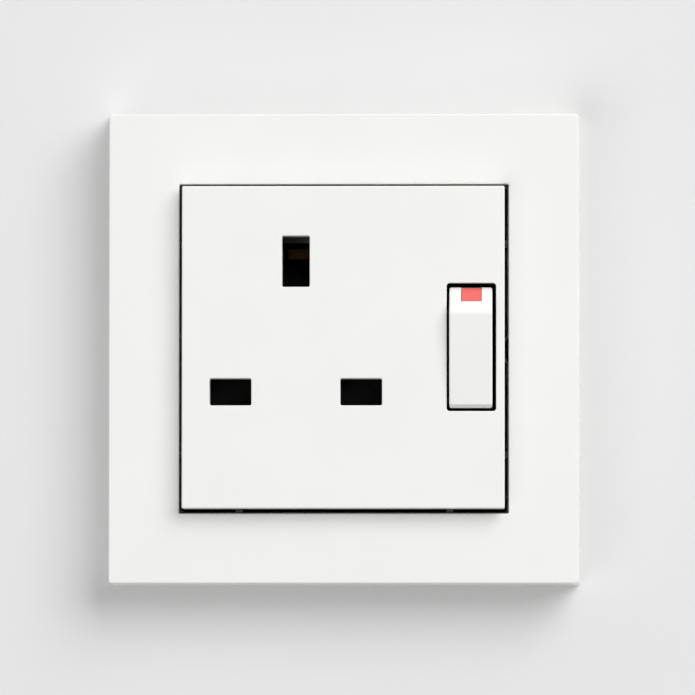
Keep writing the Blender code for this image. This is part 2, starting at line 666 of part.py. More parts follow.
def rocker(bench, finish):
    skirt = ROCKER_TOP.y + ROCKER_END_DEPTH
    relief = skirt - ROCKER_RELIEF
    profile = rounded(
        [
            (ROCKER_BOTTOM.y, ROCKER_BOTTOM.z), (ROCKER_APEX.y, ROCKER_APEX.z), (ROCKER_TOP.y, ROCKER_TOP.z),
            (skirt, ROCKER_TOP.z), (relief, ROCKER_RELIEF_HALF), (relief, -ROCKER_RELIEF_HALF),
            (skirt, ROCKER_BOTTOM.z),
        ],
        [ROCKER_END_ROUND, ROCKER_APEX_ROUND, ROCKER_EDGE_ROUND, 0, 0, 0, 0],
        5,
    )
    half = ROCKER_WIDTH / 2
    cap = extruded([profile], ROCKER_X - half, ROCKER_X + half, "X")
    made = bench.piece("rocker", cap, finish, ROCKER_PIVOT)
    bevel = made.modifiers.new("edge_round", "BEVEL")
    bevel.width = ROCKER_EDGE_ROUND
    bevel.segments = 2
    bevel.limit_method = "ANGLE"
    bevel.angle_limit = math.radians(60)
    inner = half - ROCKER_WALL
    hollow = [
        (ROCKER_BOTTOM.y + ROCKER_FACE_WALL, ROCKER_BOTTOM.z + ROCKER_WALL),
        (ROCKER_APEX.y + ROCKER_FACE_WALL, ROCKER_APEX.z - ROCKER_WALL / 2),
        (ROCKER_TOP.y + ROCKER_FACE_WALL / 2, ROCKER_TOP.z - MARKER_SIZE[1]),
        (skirt + ROCKER_WALL, ROCKER_TOP.z - MARKER_SIZE[1]),
        (skirt + ROCKER_WALL, ROCKER_BOTTOM.z + ROCKER_WALL),
    ]
    bench.cut(made, "hollow", extruded([hollow], ROCKER_X - inner, ROCKER_X + inner, "X"))
    boss = BOSS_WIDTH / 2
    depth = PIVOT_Y - (ROCKER_APEX.y + ROCKER_FACE_WALL)
    web = block(ROCKER_X, PIVOT_Y - depth, 0, boss, depth, BOSS_HALF_HEIGHT)
    bench.join(made, "web", web)
    hub = rod((ROCKER_X - boss, PIVOT_Y, 0), (ROCKER_X + boss, PIVOT_Y, 0), BOSS_HALF_HEIGHT)
    bench.join(made, "hub", hub)
    reach = boss + PIVOT_PIN
    pins = rod((ROCKER_X - reach, PIVOT_Y, 0), (ROCKER_X + reach, PIVOT_Y, 0), PIVOT_RADIUS)
    bench.join(made, "pivot_pins", pins)
    stem = rod(ROCKER_PIVOT, ROCKER_PIVOT + STEM_ALONG * STEM_LENGTH, STEM_RADIUS)
    bench.join(made, "stem", stem)
    mouth = ROCKER_PIVOT + STEM_ALONG * (STEM_LENGTH + STEM_RADIUS)
    blind = ROCKER_PIVOT + STEM_ALONG * (STEM_LENGTH - STEM_BORE_DEPTH)
    bench.cut(made, "stem_bore", rod(blind, mouth, STEM_BORE_RADIUS))
    bench.cut(made, "marker_seat", marker_block(MARKER_GAP, MARKER_SEAT_DEPTH, ROCKER_WALL))
    return made


def marker_block(spare, depth, overrun):
    """A block let into the rocker's bevel from its top end."""
    along = (ROCKER_APEX - ROCKER_TOP).normalized()
    outward = Vector((0, -along.z, along.y))
    if outward.y > 0:
        outward = -outward
    half = MARKER_SIZE[0] / 2 + spare
    mesh = box((-half, -overrun, -depth), (half, MARKER_SIZE[1] + spare, overrun - MARKER_SUNK))
    turn = Matrix(((1, 0, 0), (0, along.y, outward.y), (0, along.z, outward.z))).to_4x4()
    place = Matrix.Translation((ROCKER_X, ROCKER_TOP.y, ROCKER_TOP.z)) @ turn
    bmesh.ops.transform(mesh, matrix=place, verts=mesh.verts)
    return finished(mesh)


def rocker_marker(bench, finish):
    mesh = marker_block(0, MARKER_SUNK + MARKER_THICKNESS, -MARKER_GAP / 2)
    return bench.piece("rocker_marker", mesh, finish, ROCKER_PIVOT)


def plunger(bench, finish):
    """A round-nosed pin in the stem; its profile runs from the inner end at the top to the nose."""
    nose = [(r, PLUNGER_RADIUS - h) for r, h in dome_profile(PLUNGER_RADIUS, PLUNGER_RADIUS, 6)]
    profile = [(0, PLUNGER_LENGTH), (PLUNGER_RADIUS, PLUNGER_LENGTH), *nose[::-1]]
    return turned(bench, "plunger", profile, PLUNGER_TIP, -STEM_ALONG, finish)


def plunger_spring(bench, finish):
    back = PLUNGER_REACH - PLUNGER_LENGTH - SPRING_END_GAP
    room = back - (STEM_LENGTH - STEM_BORE_DEPTH) - SPRING_END_GAP
    foot = ROCKER_PIVOT + STEM_ALONG * back
    radius = STEM_BORE_RADIUS - PLUNGER_SPRING_WIRE - PIVOT_CLEARANCE
    size = (radius, PLUNGER_SPRING_WIRE, room, PLUNGER_SPRING_TURNS)
    return coil(bench, "plunger_spring", foot, -STEM_ALONG, size, finish)


# Shutter and its carrier


def shutter(bench, finish):
    front = SHUTTER_FRONT
    back = SHUTTER_BACK
    low = LINE_Z - LINE_SLOT[1] / 2 - SHUTTER_OVERLAP
    high = LINE_Z + LINE_SLOT[1] / 2 + SHUTTER_OVERLAP
    bar = box(
        (NEUTRAL_X - LINE_SLOT[0] / 2 - SHUTTER_OVERLAP, front, low),
        (LIVE_X + LINE_SLOT[0] / 2 + SHUTTER_OVERLAP, back, high),
    )
    made = bench.piece("shutter", bar, finish)
    ramp = EARTH_Z - EARTH_PIN_WIDTH / 2 - SEAT_GAP
    stem_front = front + SHUTTER_STEP
    stem_back = back - SHUTTER_STEP
    ledge = back + SHUTTER_RAMP - SHUTTER_THICKNESS + SHUTTER_STEP * 3
    profile = [
        (stem_front, LINE_Z), (stem_front, ramp), (stem_front + SHUTTER_RAMP, ramp + SHUTTER_RAMP),
        (ledge, ramp + SHUTTER_RAMP), (ledge, ramp + SHUTTER_RAMP - SHUTTER_THICKNESS),
        (stem_back, ramp - SHUTTER_THICKNESS + SHUTTER_RAMP - ledge + stem_back), (stem_back, LINE_Z),
    ]
    middle = PIN_GROUP_X
    stem = extruded([profile], middle - SHUTTER_STEM / 2, middle + SHUTTER_STEM / 2, "X")
    bench.join(made, "stem_and_ramp", stem)
    ends = ((middle, SPRING_Y, low - SPRING_PEG), (middle, SPRING_Y, low + SPRING_PEG))
    bench.join(made, "spring_peg", rod(*ends, SPRING_PEG_RADIUS, FINE_SIDES))
    return made


def spring_span():
    """The heights between which the shutter spring stands."""
    top = LINE_Z - LINE_SLOT[1] / 2 - SHUTTER_OVERLAP - SPRING_END_GAP
    foot = SPRING_SEAT_Z + SPRING_END_GAP
    return foot, top


def shutter_spring(bench, finish):
    foot, top = spring_span()
    size = (SPRING_RADIUS, SPRING_WIRE, top - foot, SPRING_TURNS)
    return coil(bench, "shutter_spring", (PIN_GROUP_X, SPRING_Y, foot), (0, 0, 1), size, finish)


def shutter_carrier(bench, finish):
    half = CARRIER_SIDE / 2
    inner = half - CARRIER_WALL
    body = box((-half, CARRIER_FRONT, -half), (half, COLLAR_BACK, half))
    made = bench.piece("shutter_carrier", body, finish)
    rim = half - CARRIER_WALL / 2
    edge = rounded_rectangle((0, 0), (FLANGE_SIDE, FLANGE_SIDE), FRAME_OPENING_ROUND)
    flange = [edge, rectangle((-rim, -rim), (rim, rim))]
    bench.join(made, "flange", extruded(flange, FLANGE_FRONT, COLLAR_BACK, "Y"))
    for side in (-1, 1):
        x = side * FIXING_SPACING / 2
        notch = rod((x, FLANGE_FRONT - SEAT_GAP, 0), (x, 0, 0), FIXING_HEAD_RADIUS + HEAD_ROOM)
        bench.cut(made, f"flange_notch_{side}", notch)
    ahead = CARRIER_FRONT - PLATE_WALL
    bench.cut(made, "front_tray", box((-inner, ahead, -inner), (inner, FLOOR_FRONT, inner)))
    bench.cut(made, "back_tray", box((-inner, FLOOR_BACK, -inner), (inner, 0, inner)))
    left = ROCKER_X - BEARING_FACE
    right = ROCKER_X + BEARING_FACE
    middle_y = (FLOOR_FRONT + FLOOR_BACK) / 2
    wall = box((left - BEARING_WALL, CARRIER_FRONT, -inner - SEAT_GAP), (left, middle_y, inner + SEAT_GAP))
    bench.join(made, "partition", wall)
    reach = ROCKER_OPENING[1] / 2 + ROCKER_SIDE_GAP
    well = box((left - BEARING_WALL - ROCKER_SIDE_GAP, ahead, -reach), (half + CARRIER_WALL, WELL_Y, reach))
    bench.cut(made, "rocker_well", well)
    front = PIVOT_Y - PIVOT_RADIUS - PIVOT_CLEARANCE - BEARING_RIM
    for side, low, high in (("left", left - BEARING_WALL, left), ("right", right, half)):
        bench.join(made, f"bearing_{side}", box((low, front, -BEARING_HALF), (high, middle_y, BEARING_HALF)))
    reach = BOSS_WIDTH / 2 + PIVOT_PIN + PIVOT_CLEARANCE
    ends = ((ROCKER_X - reach, PIVOT_Y, 0), (ROCKER_X + reach, PIVOT_Y, 0))
    bench.cut(made, "pivot_bearing", rod(*ends, PIVOT_RADIUS + PIVOT_CLEARANCE))
    snap = PIVOT_RADIUS * SNAP_SHARE
    bench.cut(
        made, "snap_in_slot",
        box((ROCKER_X - reach, front - BEARING_RIM, -snap), (ROCKER_X + reach, PIVOT_Y, snap)),
    )
    stem_room = STEM_RADIUS + STEM_SWING
    bench.cut(
        made, "stem_slot",
        box((left, WELL_Y - BEARING_RIM, -stem_room), (right, 0, stem_room)),
    )
    above = FLOOR_FRONT - CARRIER_FLOOR
    below = FLOOR_BACK + CARRIER_FLOOR
    for name, centre, size in slots()[1:]:
        hole = rounded_rectangle(centre, (size[0] + PIN_CLEARANCE, size[1] + PIN_CLEARANCE), SLOT_ROUND)
        bench.cut(made, f"pin_hole_{name}", extruded([hole], above, below, "Y"))
    ramp_low = EARTH_Z - EARTH_PIN_WIDTH / 2 - SHUTTER_TRAVEL - 2 * SEAT_GAP
    ramp_high = EARTH_Z + EARTH_SLOT[1] / 2 + PIN_CLEARANCE
    across = SHUTTER_STEM / 2 + PIN_CLEARANCE
    ramp_slot = box((PIN_GROUP_X - across, above, ramp_low), (PIN_GROUP_X + across, below, ramp_high))
    bench.cut(made, "ramp_slot", ramp_slot)
    seat = box(
        (PIN_GROUP_X - SHUTTER_STEM / 2, SHUTTER_FRONT, -inner - SEAT_GAP),
        (PIN_GROUP_X + SHUTTER_STEM / 2, middle_y, SPRING_SEAT_Z),
    )
    bench.join(made, "spring_seat", seat)
    guide_x = LIVE_X + LINE_SLOT[0] / 2 + SHUTTER_OVERLAP + SEAT_GAP
    guide_top = LINE_Z + LINE_SLOT[1]
    guide = box((guide_x, GUIDE_FRONT, SPRING_SEAT_Z), (guide_x + GUIDE_WALL, middle_y, guide_top))
    bench.join(made, "shutter_guide", guide)
    stop_z = LINE_Z + LINE_SLOT[1] / 2 + SHUTTER_OVERLAP + SEAT_GAP
    for side in (-1, 1):
        near = PIN_GROUP_X + side * (SHUTTER_STEM / 2 + SEAT_GAP)
        low, high = sorted((near, near + side * STOP_WIDTH))
        stop = box((low, GUIDE_FRONT, stop_z), (high, middle_y, stop_z + GUIDE_WALL))
        bench.join(made, f"shutter_stop_{side}", stop)
    for number, (x, z) in enumerate(BODY_SCREWS, 1):
        boss = rod((x, FLOOR_FRONT - BOSS_HEIGHT, z), (x, 0, z), BODY_BOSS_RADIUS)
        bench.join(made, f"screw_boss_{number}", boss)
        core = rod((x, BOSS_BLIND, z), (x, SEAT_GAP, z), BODY_SCREW_RADIUS + PIVOT_CLEARANCE)
        bench.cut(made, f"screw_hole_{number}", core)
    for side in (-1, 1):
        low, high = sorted((side * (inner - SEAT_GAP), side * (half + SEAT_GAP)))
        for across in (-1, 1):
            start = across * NOSE_OFFSET - NOSE_WIDTH / 2 - SEAT_GAP
            end = across * NOSE_OFFSET + NOSE_WIDTH / 2 + SEAT_GAP
            catch = box((start, NOSE_Y - SEAT_GAP, low), (end, NOSE_Y + NOSE_HEIGHT + SEAT_GAP, high))
            bench.cut(made, f"snap_catch_{side}_{across}", catch)
    return made


# Yoke and base


def support_yoke(bench, finish):
    loops = [
        rounded_rectangle((0, 0), (YOKE_SIDE, YOKE_SIDE), YOKE_CORNER, 4),
        rounded_rectangle((0, 0), (YOKE_OPENING, YOKE_OPENING), YOKE_OPENING_ROUND),
    ]
    reach = FIXING_SPACING / 2
    for side in (-1, 1):
        loops.append(rounded_rectangle((side * reach, 0), FIXING_SLOT, FIXING_SLOT[0] * 0.49, 6))
    hole = RIVET_RADIUS + PIN_CLEARANCE
    loops.append(rounded_rectangle((STRAP_X, STRAP_RIVET_Z), (2 * hole, 2 * hole), hole * 0.98, 4))
    return bench.piece("support_yoke", extruded(loops, YOKE_FRONT, 0, "Y"), finish)


def base_chambers():
    """The pockets cut into the base from the front: name, low and high (x, z) and how deep."""
    clip = CLIP_WIDTH / 2 + CHAMBER_GAP
    leaf = GRIP_GAP / 2 + STRIP + MOUTH_FLARE + CHAMBER_GAP
    low = LINE_Z - leaf
    high = LINE_Z + leaf
    bend = min(low, TAIL_BEND_Z) - SEAT_GAP
    well_top = TAIL_BEND_Z + CHAMBER_GAP
    rib = high + BASE_WALL
    inner = BASE_INNER
    cage = CAGE_INNER[0] / 2 + CAGE_WALL + SEAT_GAP
    clip_floor = CLIP_BACK + STRIP / 2 + SEAT_GAP
    blade_floor = FIXED_STRIP_Y + STRIP / 2 + SEAT_GAP
    earth_floor = EARTH_CLIP_BACK + STRIP / 2 + SEAT_GAP
    strap_floor = TAIL_Y + STRIP / 2 + RIVET_HEAD_HEIGHT + 2 * SEAT_GAP
    earth_left = PIN_GROUP_X - EARTH_LEAF - CHAMBER_GAP
    earth_right = PIN_GROUP_X + EARTH_LEAF + CHAMBER_GAP
    earth_low = EARTH_Z - EARTH_CLIP_WIDTH / 2 - SEAT_GAP
    earth_high = EARTH_Z + EARTH_CLIP_WIDTH / 2 + SEAT_GAP
    plate_top = earth_low + EARTH_PLATE_HEIGHT + 2 * SEAT_GAP
    switch = ROCKER_X - SWITCH_HALF - SEAT_GAP
    strap = STRAP_WIDTH / 2 + SEAT_GAP
    return [
        ("neutral_clip", (NEUTRAL_X - clip, low), (NEUTRAL_X + clip, high), clip_floor),
        ("live_clip", (LIVE_X - clip, low), (LIVE_X + clip, high), clip_floor),
        ("neutral_well", (NEUTRAL_X - cage, -inner), (NEUTRAL_X + cage, well_top), REAR_FRONT),
        ("live_well", (LIVE_TERMINAL_X - cage, -inner), (LIVE_TERMINAL_X + cage, well_top), REAR_FRONT),
        ("earth_well", (EARTH_TERMINAL_X - cage, earth_low), (EARTH_TERMINAL_X + cage, inner), REAR_FRONT),
        ("earth_clip", (earth_left, earth_low), (earth_right, earth_high), earth_floor),
        ("earth_plate", (PIN_GROUP_X, earth_low), (EARTH_TERMINAL_X, plate_top), earth_floor),
        ("live_link", (LIVE_X, LINK_LOW - SEAT_GAP), (inner, LINK_HIGH + SEAT_GAP), clip_floor),
        ("switch", (switch, bend), (inner, SEESAW_ARM + 2 * CHAMBER_GAP), blade_floor),
        ("blade_foot", (LIVE_TERMINAL_X - cage, bend), (inner, FOOT_TOP + SEAT_GAP), blade_floor),
        ("strap_slot", (STRAP_X - strap, earth_low), (STRAP_X + strap, BASE_SIDE), strap_floor),
        ("core_low", (CORE_LOW[0], -inner), (CORE_LOW[1], low - BASE_WALL), BODY_SCREW_SEAT - BASE_WALL),
        ("core_side", (-inner, rib), CORE_SIDE, TAIL_Y),
        ("core_middle", (CORE_MIDDLE_LEFT, rib), CORE_MIDDLE_CORNER, TAIL_Y),
    ]


def socket_base(bench, finish):
    half = BASE_SIDE / 2
    body = box((-half, SEAT_GAP, -half), (half, BASE_DEPTH, half))
    round_edges(body, lambda edge: at_height(edge, BASE_DEPTH) or runs_along_y(edge), BASE_EDGE_ROUND)
    made = bench.piece("socket_base", body, finish)
    for name, low, high, depth in base_chambers():
        bench.cut(made, f"chamber_{name}", box((low[0], -SEAT_GAP, low[1]), (high[0], depth, high[1])))
    for name, (x, z) in TERMINALS.items():
        guide = rod((x, REAR_FRONT + SEAT_GAP, z), (x, BASE_DEPTH + GUIDE_HEIGHT, z), GUIDE_RADIUS)
        bench.join(made, f"driver_guide_{name}", guide)
        ends = ((x, REAR_FRONT - BASE_WALL, z), (x, BASE_DEPTH + BASE_WALL, z))
        bench.cut(made, f"driver_hole_{name}", rod(*ends, TERMINAL_HEAD_RADIUS + SEAT_GAP))
        side = math.copysign(1, z)
        low, high = sorted((side * (BASE_INNER - BASE_WALL), side * (half + BASE_WALL)))
        across = PORT_SIZE[0] / 2
        port = box((x - across, PORT_BACK - PORT_SIZE[1], low), (x + across, PORT_BACK, high))
        bench.cut(made, f"conductor_port_{name}", port)
    for number, (x, z) in enumerate(BODY_SCREWS, 1):
        head = rod((x, BODY_SCREW_SEAT, z), (x, BASE_DEPTH + BASE_WALL, z), BODY_HEAD_RADIUS + SEAT_GAP)
        bench.cut(made, f"screw_head_hole_{number}", head)
        shank = rod((x, -SEAT_GAP, z), (x, BODY_SCREW_SEAT + SEAT_GAP, z), BODY_SCREW_RADIUS + SEAT_GAP)
        bench.cut(made, f"screw_hole_{number}", shank)
    return made


# Contacts


def clip_path(mouth, back, middle):
    """The line of a pin clip's sheet: flared mouth, grip, back and the same again, in (depth, across)."""
    grip_y = mouth + GRIP_DEPTH
    grip = (GRIP_GAP + STRIP) / 2
    wide = grip + CLIP_SPREAD
    return [
        (mouth, middle + grip + MOUTH_FLARE), (grip_y, middle + grip), (back, middle + wide),
        (back, middle - wide), (grip_y, middle - grip), (mouth, middle - grip - MOUTH_FLARE),
    ]


def line_clip(x):
    path = clip_path(CLIP_MOUTH, CLIP_BACK, LINE_Z)
    return extruded([strip_outline(path, STRIP)], x - CLIP_WIDTH / 2, x + CLIP_WIDTH / 2, "X")


def tail(x, start_y, start_z):
    """A strip that steps back to the terminal and runs down through its cage."""
    foot = TERMINAL_Z - CAGE_HEIGHT / 2 + SEAT_GAP
    path = [(start_y, start_z), (start_y, TAIL_BEND_Z), (TAIL_Y, TAIL_BEND_Z - TAIL_STEP), (TAIL_Y, foot)]
    return extruded([strip_outline(path, STRIP)], x - TAIL_WIDTH / 2, x + TAIL_WIDTH / 2, "X")


def neutral_contact(bench, finish):
    made = bench.piece("neutral_contact", line_clip(NEUTRAL_X), finish)
    bench.join(made, "tail", tail(NEUTRAL_X, CLIP_BACK, LINE_Z))
    return made


def live_contact(bench, finish):
    """The live pin clip, a link across to the switch and the cradle that the see-saw rocks in."""
    made = bench.piece("live_contact", line_clip(LIVE_X), finish)
    front = CLIP_BACK - STRIP / 2
    back = CLIP_BACK + STRIP / 2
    ear_outer = SEESAW_WIDTH / 2 + SEAT_GAP + CRADLE_EAR
    foot = CRADLE_FOOT / 2
    link = [
        (LIVE_X - CLIP_WIDTH / 4, LINK_LOW), (ROCKER_X + ear_outer, LINK_LOW), (ROCKER_X + ear_outer, foot),
        (ROCKER_X - ear_outer, foot), (ROCKER_X - ear_outer, LINK_HIGH), (LIVE_X - CLIP_WIDTH / 4, LINK_HIGH),
    ]
    bench.join(made, "link", extruded([link], front, back, "Y"))
    notch = LUG_HEIGHT / 2 + SEAT_GAP + LUG_SWING
    top = SEESAW_Y - notch
    ear = [
        (back - STRIP / 4, -foot), (top, -notch - CRADLE_EAR), (top, -notch), (SEESAW_Y + notch, -notch),
        (SEESAW_Y + notch, notch), (top, notch), (top, notch + CRADLE_EAR), (back - STRIP / 4, foot),
    ]
    for side in (-1, 1):
        low, high = sorted((ROCKER_X + side * (ear_outer - CRADLE_EAR), ROCKER_X + side * ear_outer))
        bench.join(made, f"cradle_ear_{side}", extruded([ear], low, high, "X"))
    return made


def moving_contact(bench, finish):
    """The see-saw, tilted at rest so that its upper tip stands on the fixed contact."""
    half = SEESAW_WIDTH / 2
    thick = SEESAW_THICKNESS / 2
    path = [(thick * SEESAW_NOSE, -SEESAW_ARM), (0, -SEESAW_ARM * SEESAW_BEND), (0, SEESAW_ARM)]
    mesh = extruded([strip_outline(path, SEESAW_THICKNESS)], -half, half, "X")
    made = bench.piece("moving_contact", seesaw_placed(mesh), finish, SEESAW_PIVOT)
    reach = half + SEAT_GAP + CRADLE_EAR
    lug = box((-reach, -thick * LUG_SHARE, -LUG_HEIGHT / 2), (reach, thick * LUG_SHARE, LUG_HEIGHT / 2))
    bench.join(made, "pivot_lugs", seesaw_placed(lug))
    tip = rod((0, 0, TIP_REACH), (0, thick + TIP_THICKNESS, TIP_REACH), TIP_RADIUS, FINE_SIDES)
    bench.join(made, "contact_tip", seesaw_placed(tip))
    return made


def seesaw_placed(mesh):
    """Turns a mesh drawn along Z about the see-saw's pivot to the closed position."""
    place = Matrix.Translation(SEESAW_PIVOT) @ Matrix.Rotation(-SEESAW_TILT, 4, "X")
    bmesh.ops.transform(mesh, matrix=place, verts=mesh.verts)
    return finished(mesh)


def fixed_contact(bench, finish):
    """The supply blade: up behind the see-saw to the fixed tip and down to the live terminal."""
    seat = SEESAW_PIVOT + SEESAW_BACK * FIXED_OFFSET + SEESAW_ALONG * TIP_REACH
    low = seat - SEESAW_ALONG * (TIP_RADIUS + SEAT_GAP)
    high = seat + SEESAW_ALONG * (TIP_RADIUS + SEAT_GAP)
    knee = low.z - (FIXED_STRIP_Y - low.y)
    path = [(FIXED_STRIP_Y, TAIL_BEND_Z), (FIXED_STRIP_Y, knee), (low.y, low.z), (high.y, high.z)]
    half = FIXED_WIDTH / 2
    blade = extruded([strip_outline(path, STRIP)], ROCKER_X - half, ROCKER_X + half, "X")
    made = bench.piece("fixed_contact", blade, finish)
    foot = box(
        (LIVE_TERMINAL_X - TAIL_WIDTH / 2, FIXED_STRIP_Y - STRIP / 2, TAIL_BEND_Z),
        (ROCKER_X + FIXED_WIDTH / 2, FIXED_STRIP_Y + STRIP / 2, FOOT_TOP),
    )
    bench.join(made, "foot", foot)
    bench.join(made, "tail", tail(LIVE_TERMINAL_X, FIXED_STRIP_Y, TAIL_BEND_Z + FOOT_HEIGHT / 2))
    near = FIXED_OFFSET - STRIP / 2 - TIP_THICKNESS
    tip = rod((0, near, TIP_REACH), (0, FIXED_OFFSET, TIP_REACH), TIP_RADIUS, FINE_SIDES)
    bench.join(made, "contact_tip", seesaw_placed(tip))
    return made


def earth_contact(bench, finish):
    """The earth clip grips the long pin from its sides; a plate leads on to the earth terminal."""
    path = [(across, depth) for depth, across in clip_path(EARTH_CLIP_MOUTH, EARTH_CLIP_BACK, PIN_GROUP_X)]
    low = EARTH_Z - EARTH_CLIP_WIDTH / 2
    clip = extruded([strip_outline(path, STRIP)], low, low + EARTH_CLIP_WIDTH, "Z")
    made = bench.piece("earth_contact", clip, finish)
    start = PIN_GROUP_X - GRIP_GAP / 2
    near = EARTH_TERMINAL_X - TAIL_WIDTH / 2
    far = EARTH_TERMINAL_X + TAIL_WIDTH / 2
    top = low + EARTH_PLATE_HEIGHT
    end = TERMINAL_DROP + CAGE_HEIGHT / 2 - SEAT_GAP
    plate = [(start, low), (far, low), (far, end), (near, end), (near, top), (start, top)]
    bench.join(made, "plate", extruded([plate], TAIL_Y - STRIP / 2, TAIL_Y + STRIP / 2, "Y"))
    hole = rod(
        (STRAP_X, TAIL_Y - STRIP, STRAP_FOOT_Z), (STRAP_X, TAIL_Y + STRIP, STRAP_FOOT_Z),
        RIVET_RADIUS + PIN_CLEARANCE, FINE_SIDES,
    )
    bench.cut(made, "rivet_hole", hole)
    return made


def earth_strap(bench, finish):
    """The strap that earths the yoke: flat on its back, over the base and down on to the plate."""
    over = BASE_SIDE / 2 + STRIP / 2 + 2 * SEAT_GAP
    near = SEAT_GAP + STRIP / 2
    inner = TAIL_Y - STRIP - SEAT_GAP
    foot = EARTH_Z - EARTH_CLIP_WIDTH / 2
    x = STRAP_X
    path = [(near, STRAP_TOP), (near, over), (inner, over), (inner, foot)]
    strap = extruded([strip_outline(path, STRIP)], x - STRAP_WIDTH / 2, x + STRAP_WIDTH / 2, "X")
    made = bench.piece("earth_strap", strap, finish)
    for label, middle, z in (("upper", near, STRAP_RIVET_Z), ("lower", inner, STRAP_FOOT_Z)):
        hole = rod((x, middle - STRIP, z), (x, middle + STRIP, z), RIVET_RADIUS + PIN_CLEARANCE, FINE_SIDES)
        bench.cut(made, f"rivet_hole_{label}", hole)
    return made


# Terminals, screws and rivets


def terminal(bench, name, place, finish):
    x, z = place
    half = CAGE_INNER[0] / 2 + CAGE_WALL
    outer = rectangle((x - half, CAGE_FRONT - CAGE_WALL), (x + half, CAGE_BACK + CAGE_WALL))
    inner = rectangle((x - CAGE_INNER[0] / 2, CAGE_FRONT), (x + CAGE_INNER[0] / 2, CAGE_BACK))
    cage = extruded([rounded(outer, CAGE_WALL / 2, 2), inner], z - CAGE_HEIGHT / 2, z + CAGE_HEIGHT / 2, "Z")
    made = bench.piece(f"{name}_terminal", cage, finish)
    ends = ((x, CAGE_BACK - CAGE_WALL, z), (x, CAGE_BACK + 2 * CAGE_WALL, z))
    bench.cut(made, "screw_hole", rod(*ends, TERMINAL_SCREW_RADIUS + PIVOT_CLEARANCE))
    return made


def screw(bench, name, seat, along, size, finish):
    """A slotted screw; seat is the point under its head and along points to its tip."""
    radius, length, head_radius, head_height = size
    seat = Vector(seat)
    along = Vector(along)
    rim = head_height * HEAD_RIM_SHARE
    dome = dome_profile(head_radius, head_height - rim, 4)
    head = [(r, rim + h) for r, h in dome] + [(head_radius, 0), (radius, 0)]
    profile = [*head, (radius, radius - length), (0, -length)]
    made = turned(bench, name, profile, seat, -along, finish)
    top = seat - along * head_height
    deep = head_height / 2
    slot = box((-2 * head_radius, -DRIVER_SLOT / 2, -deep), (2 * head_radius, DRIVER_SLOT / 2, deep))
    place = Matrix.Translation(top) @ (-along).to_track_quat("Z", "Y").to_matrix().to_4x4()
    bmesh.ops.transform(slot, matrix=place, verts=slot.verts)
    bench.cut(made, "driver_slot", slot)
    return made


def rivet(bench, name, front, back, z, finish):
    """A rivet through two sheets, between the depths of their outer faces."""
    x = STRAP_X
    length = back - front
    dome = dome_profile(RIVET_HEAD_RADIUS, RIVET_HEAD_HEIGHT, 3)
    front_head = [(r, length + h) for r, h in dome]
    back_head = [(r, -h) for r, h in dome[::-1]]
    profile = [*front_head, (RIVET_RADIUS, length), (RIVET_RADIUS, 0), *back_head]
    return turned(bench, name, profile, (x, back, z), (0, -1, 0), finish, FINE_SIDES)


def main():
    clear_scene()
    bench = Bench()
    white = material("white_thermoset", (0.89, 0.89, 0.88), 0.22)
    red = material("red_polycarbonate", (0.85, 0.08, 0.06), 0.25)
    black = material("black_nylon", (0.02, 0.02, 0.022), 0.45)
    grey = material("grey_nylon", (0.32, 0.33, 0.34), 0.5)
    steel = material("zinc_plated_steel", (0.62, 0.62, 0.6), 0.35, 1.0)
    brass = material("brass", (0.78, 0.58, 0.27), 0.35, 1.0)
    spring_steel = material("spring_steel", (0.45, 0.45, 0.46), 0.3, 1.0)
    cover_frame(bench, white)
    cover_plate(bench, white)
    rocker(bench, white)
    rocker_marker(bench, red)
    plunger(bench, grey)
    plunger_spring(bench, spring_steel)
    shutter(bench, black)
    shutter_spring(bench, spring_steel)
    shutter_carrier(bench, black)
    support_yoke(bench, steel)
    socket_base(bench, grey)
    neutral_contact(bench, brass)
    live_contact(bench, brass)
    moving_contact(bench, brass)
    fixed_contact(bench, brass)
    earth_contact(bench, brass)
    earth_strap(bench, brass)
    for name, place in TERMINALS.items():
        terminal(bench, name, place, brass)
        seat = (place[0], REAR_FRONT, place[1])
        length = REAR_FRONT - CAGE_BACK + TERMINAL_TIP
        size = (TERMINAL_SCREW_RADIUS, length, TERMINAL_HEAD_RADIUS, TERMINAL_HEAD_HEIGHT)
        screw(bench, f"{name}_screw", seat, (0, -1, 0), size, steel)
    for number, (x, z) in enumerate(BODY_SCREWS, 1):
        size = (BODY_SCREW_RADIUS, BODY_SCREW_LENGTH, BODY_HEAD_RADIUS, BODY_HEAD_HEIGHT)
        screw(bench, f"body_screw_{number}", (x, BODY_SCREW_SEAT + SEAT_GAP, z), (0, -1, 0), size, steel)
    for name, side in (("left", -1), ("right", 1)):
        size = (FIXING_RADIUS, FIXING_LENGTH, FIXING_HEAD_RADIUS, FIXING_HEAD_HEIGHT)
        seat = (side * FIXING_SPACING / 2, YOKE_FRONT - SEAT_GAP, 0)
        screw(bench, f"fixing_screw_{name}", seat, (0, 1, 0), size, steel)
    strap_back = SEAT_GAP + STRIP + SEAT_GAP
    rivet(bench, "strap_rivet_yoke", YOKE_FRONT - SEAT_GAP, strap_back, STRAP_RIVET_Z, brass)
    plate_back = TAIL_Y + STRIP / 2 + SEAT_GAP
    plate_front = plate_back - 2 * STRIP - 3 * SEAT_GAP
    rivet(bench, "strap_rivet_contact", plate_front, plate_back, STRAP_FOOT_Z, brass)


if __name__ == "__main__":
    main()
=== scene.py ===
"""The looks of the switched single socket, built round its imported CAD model.

Run as a script, it makes each visible piece, its material, the wall, the lamps and the camera. The wall
is the plane y = 0 and the front faces -Y. Sizes are in metres.
"""

import json
import math

import bmesh
import bpy
from bpy.props import FloatProperty, FloatVectorProperty, IntProperty, PointerProperty
from mathutils import Matrix, Vector

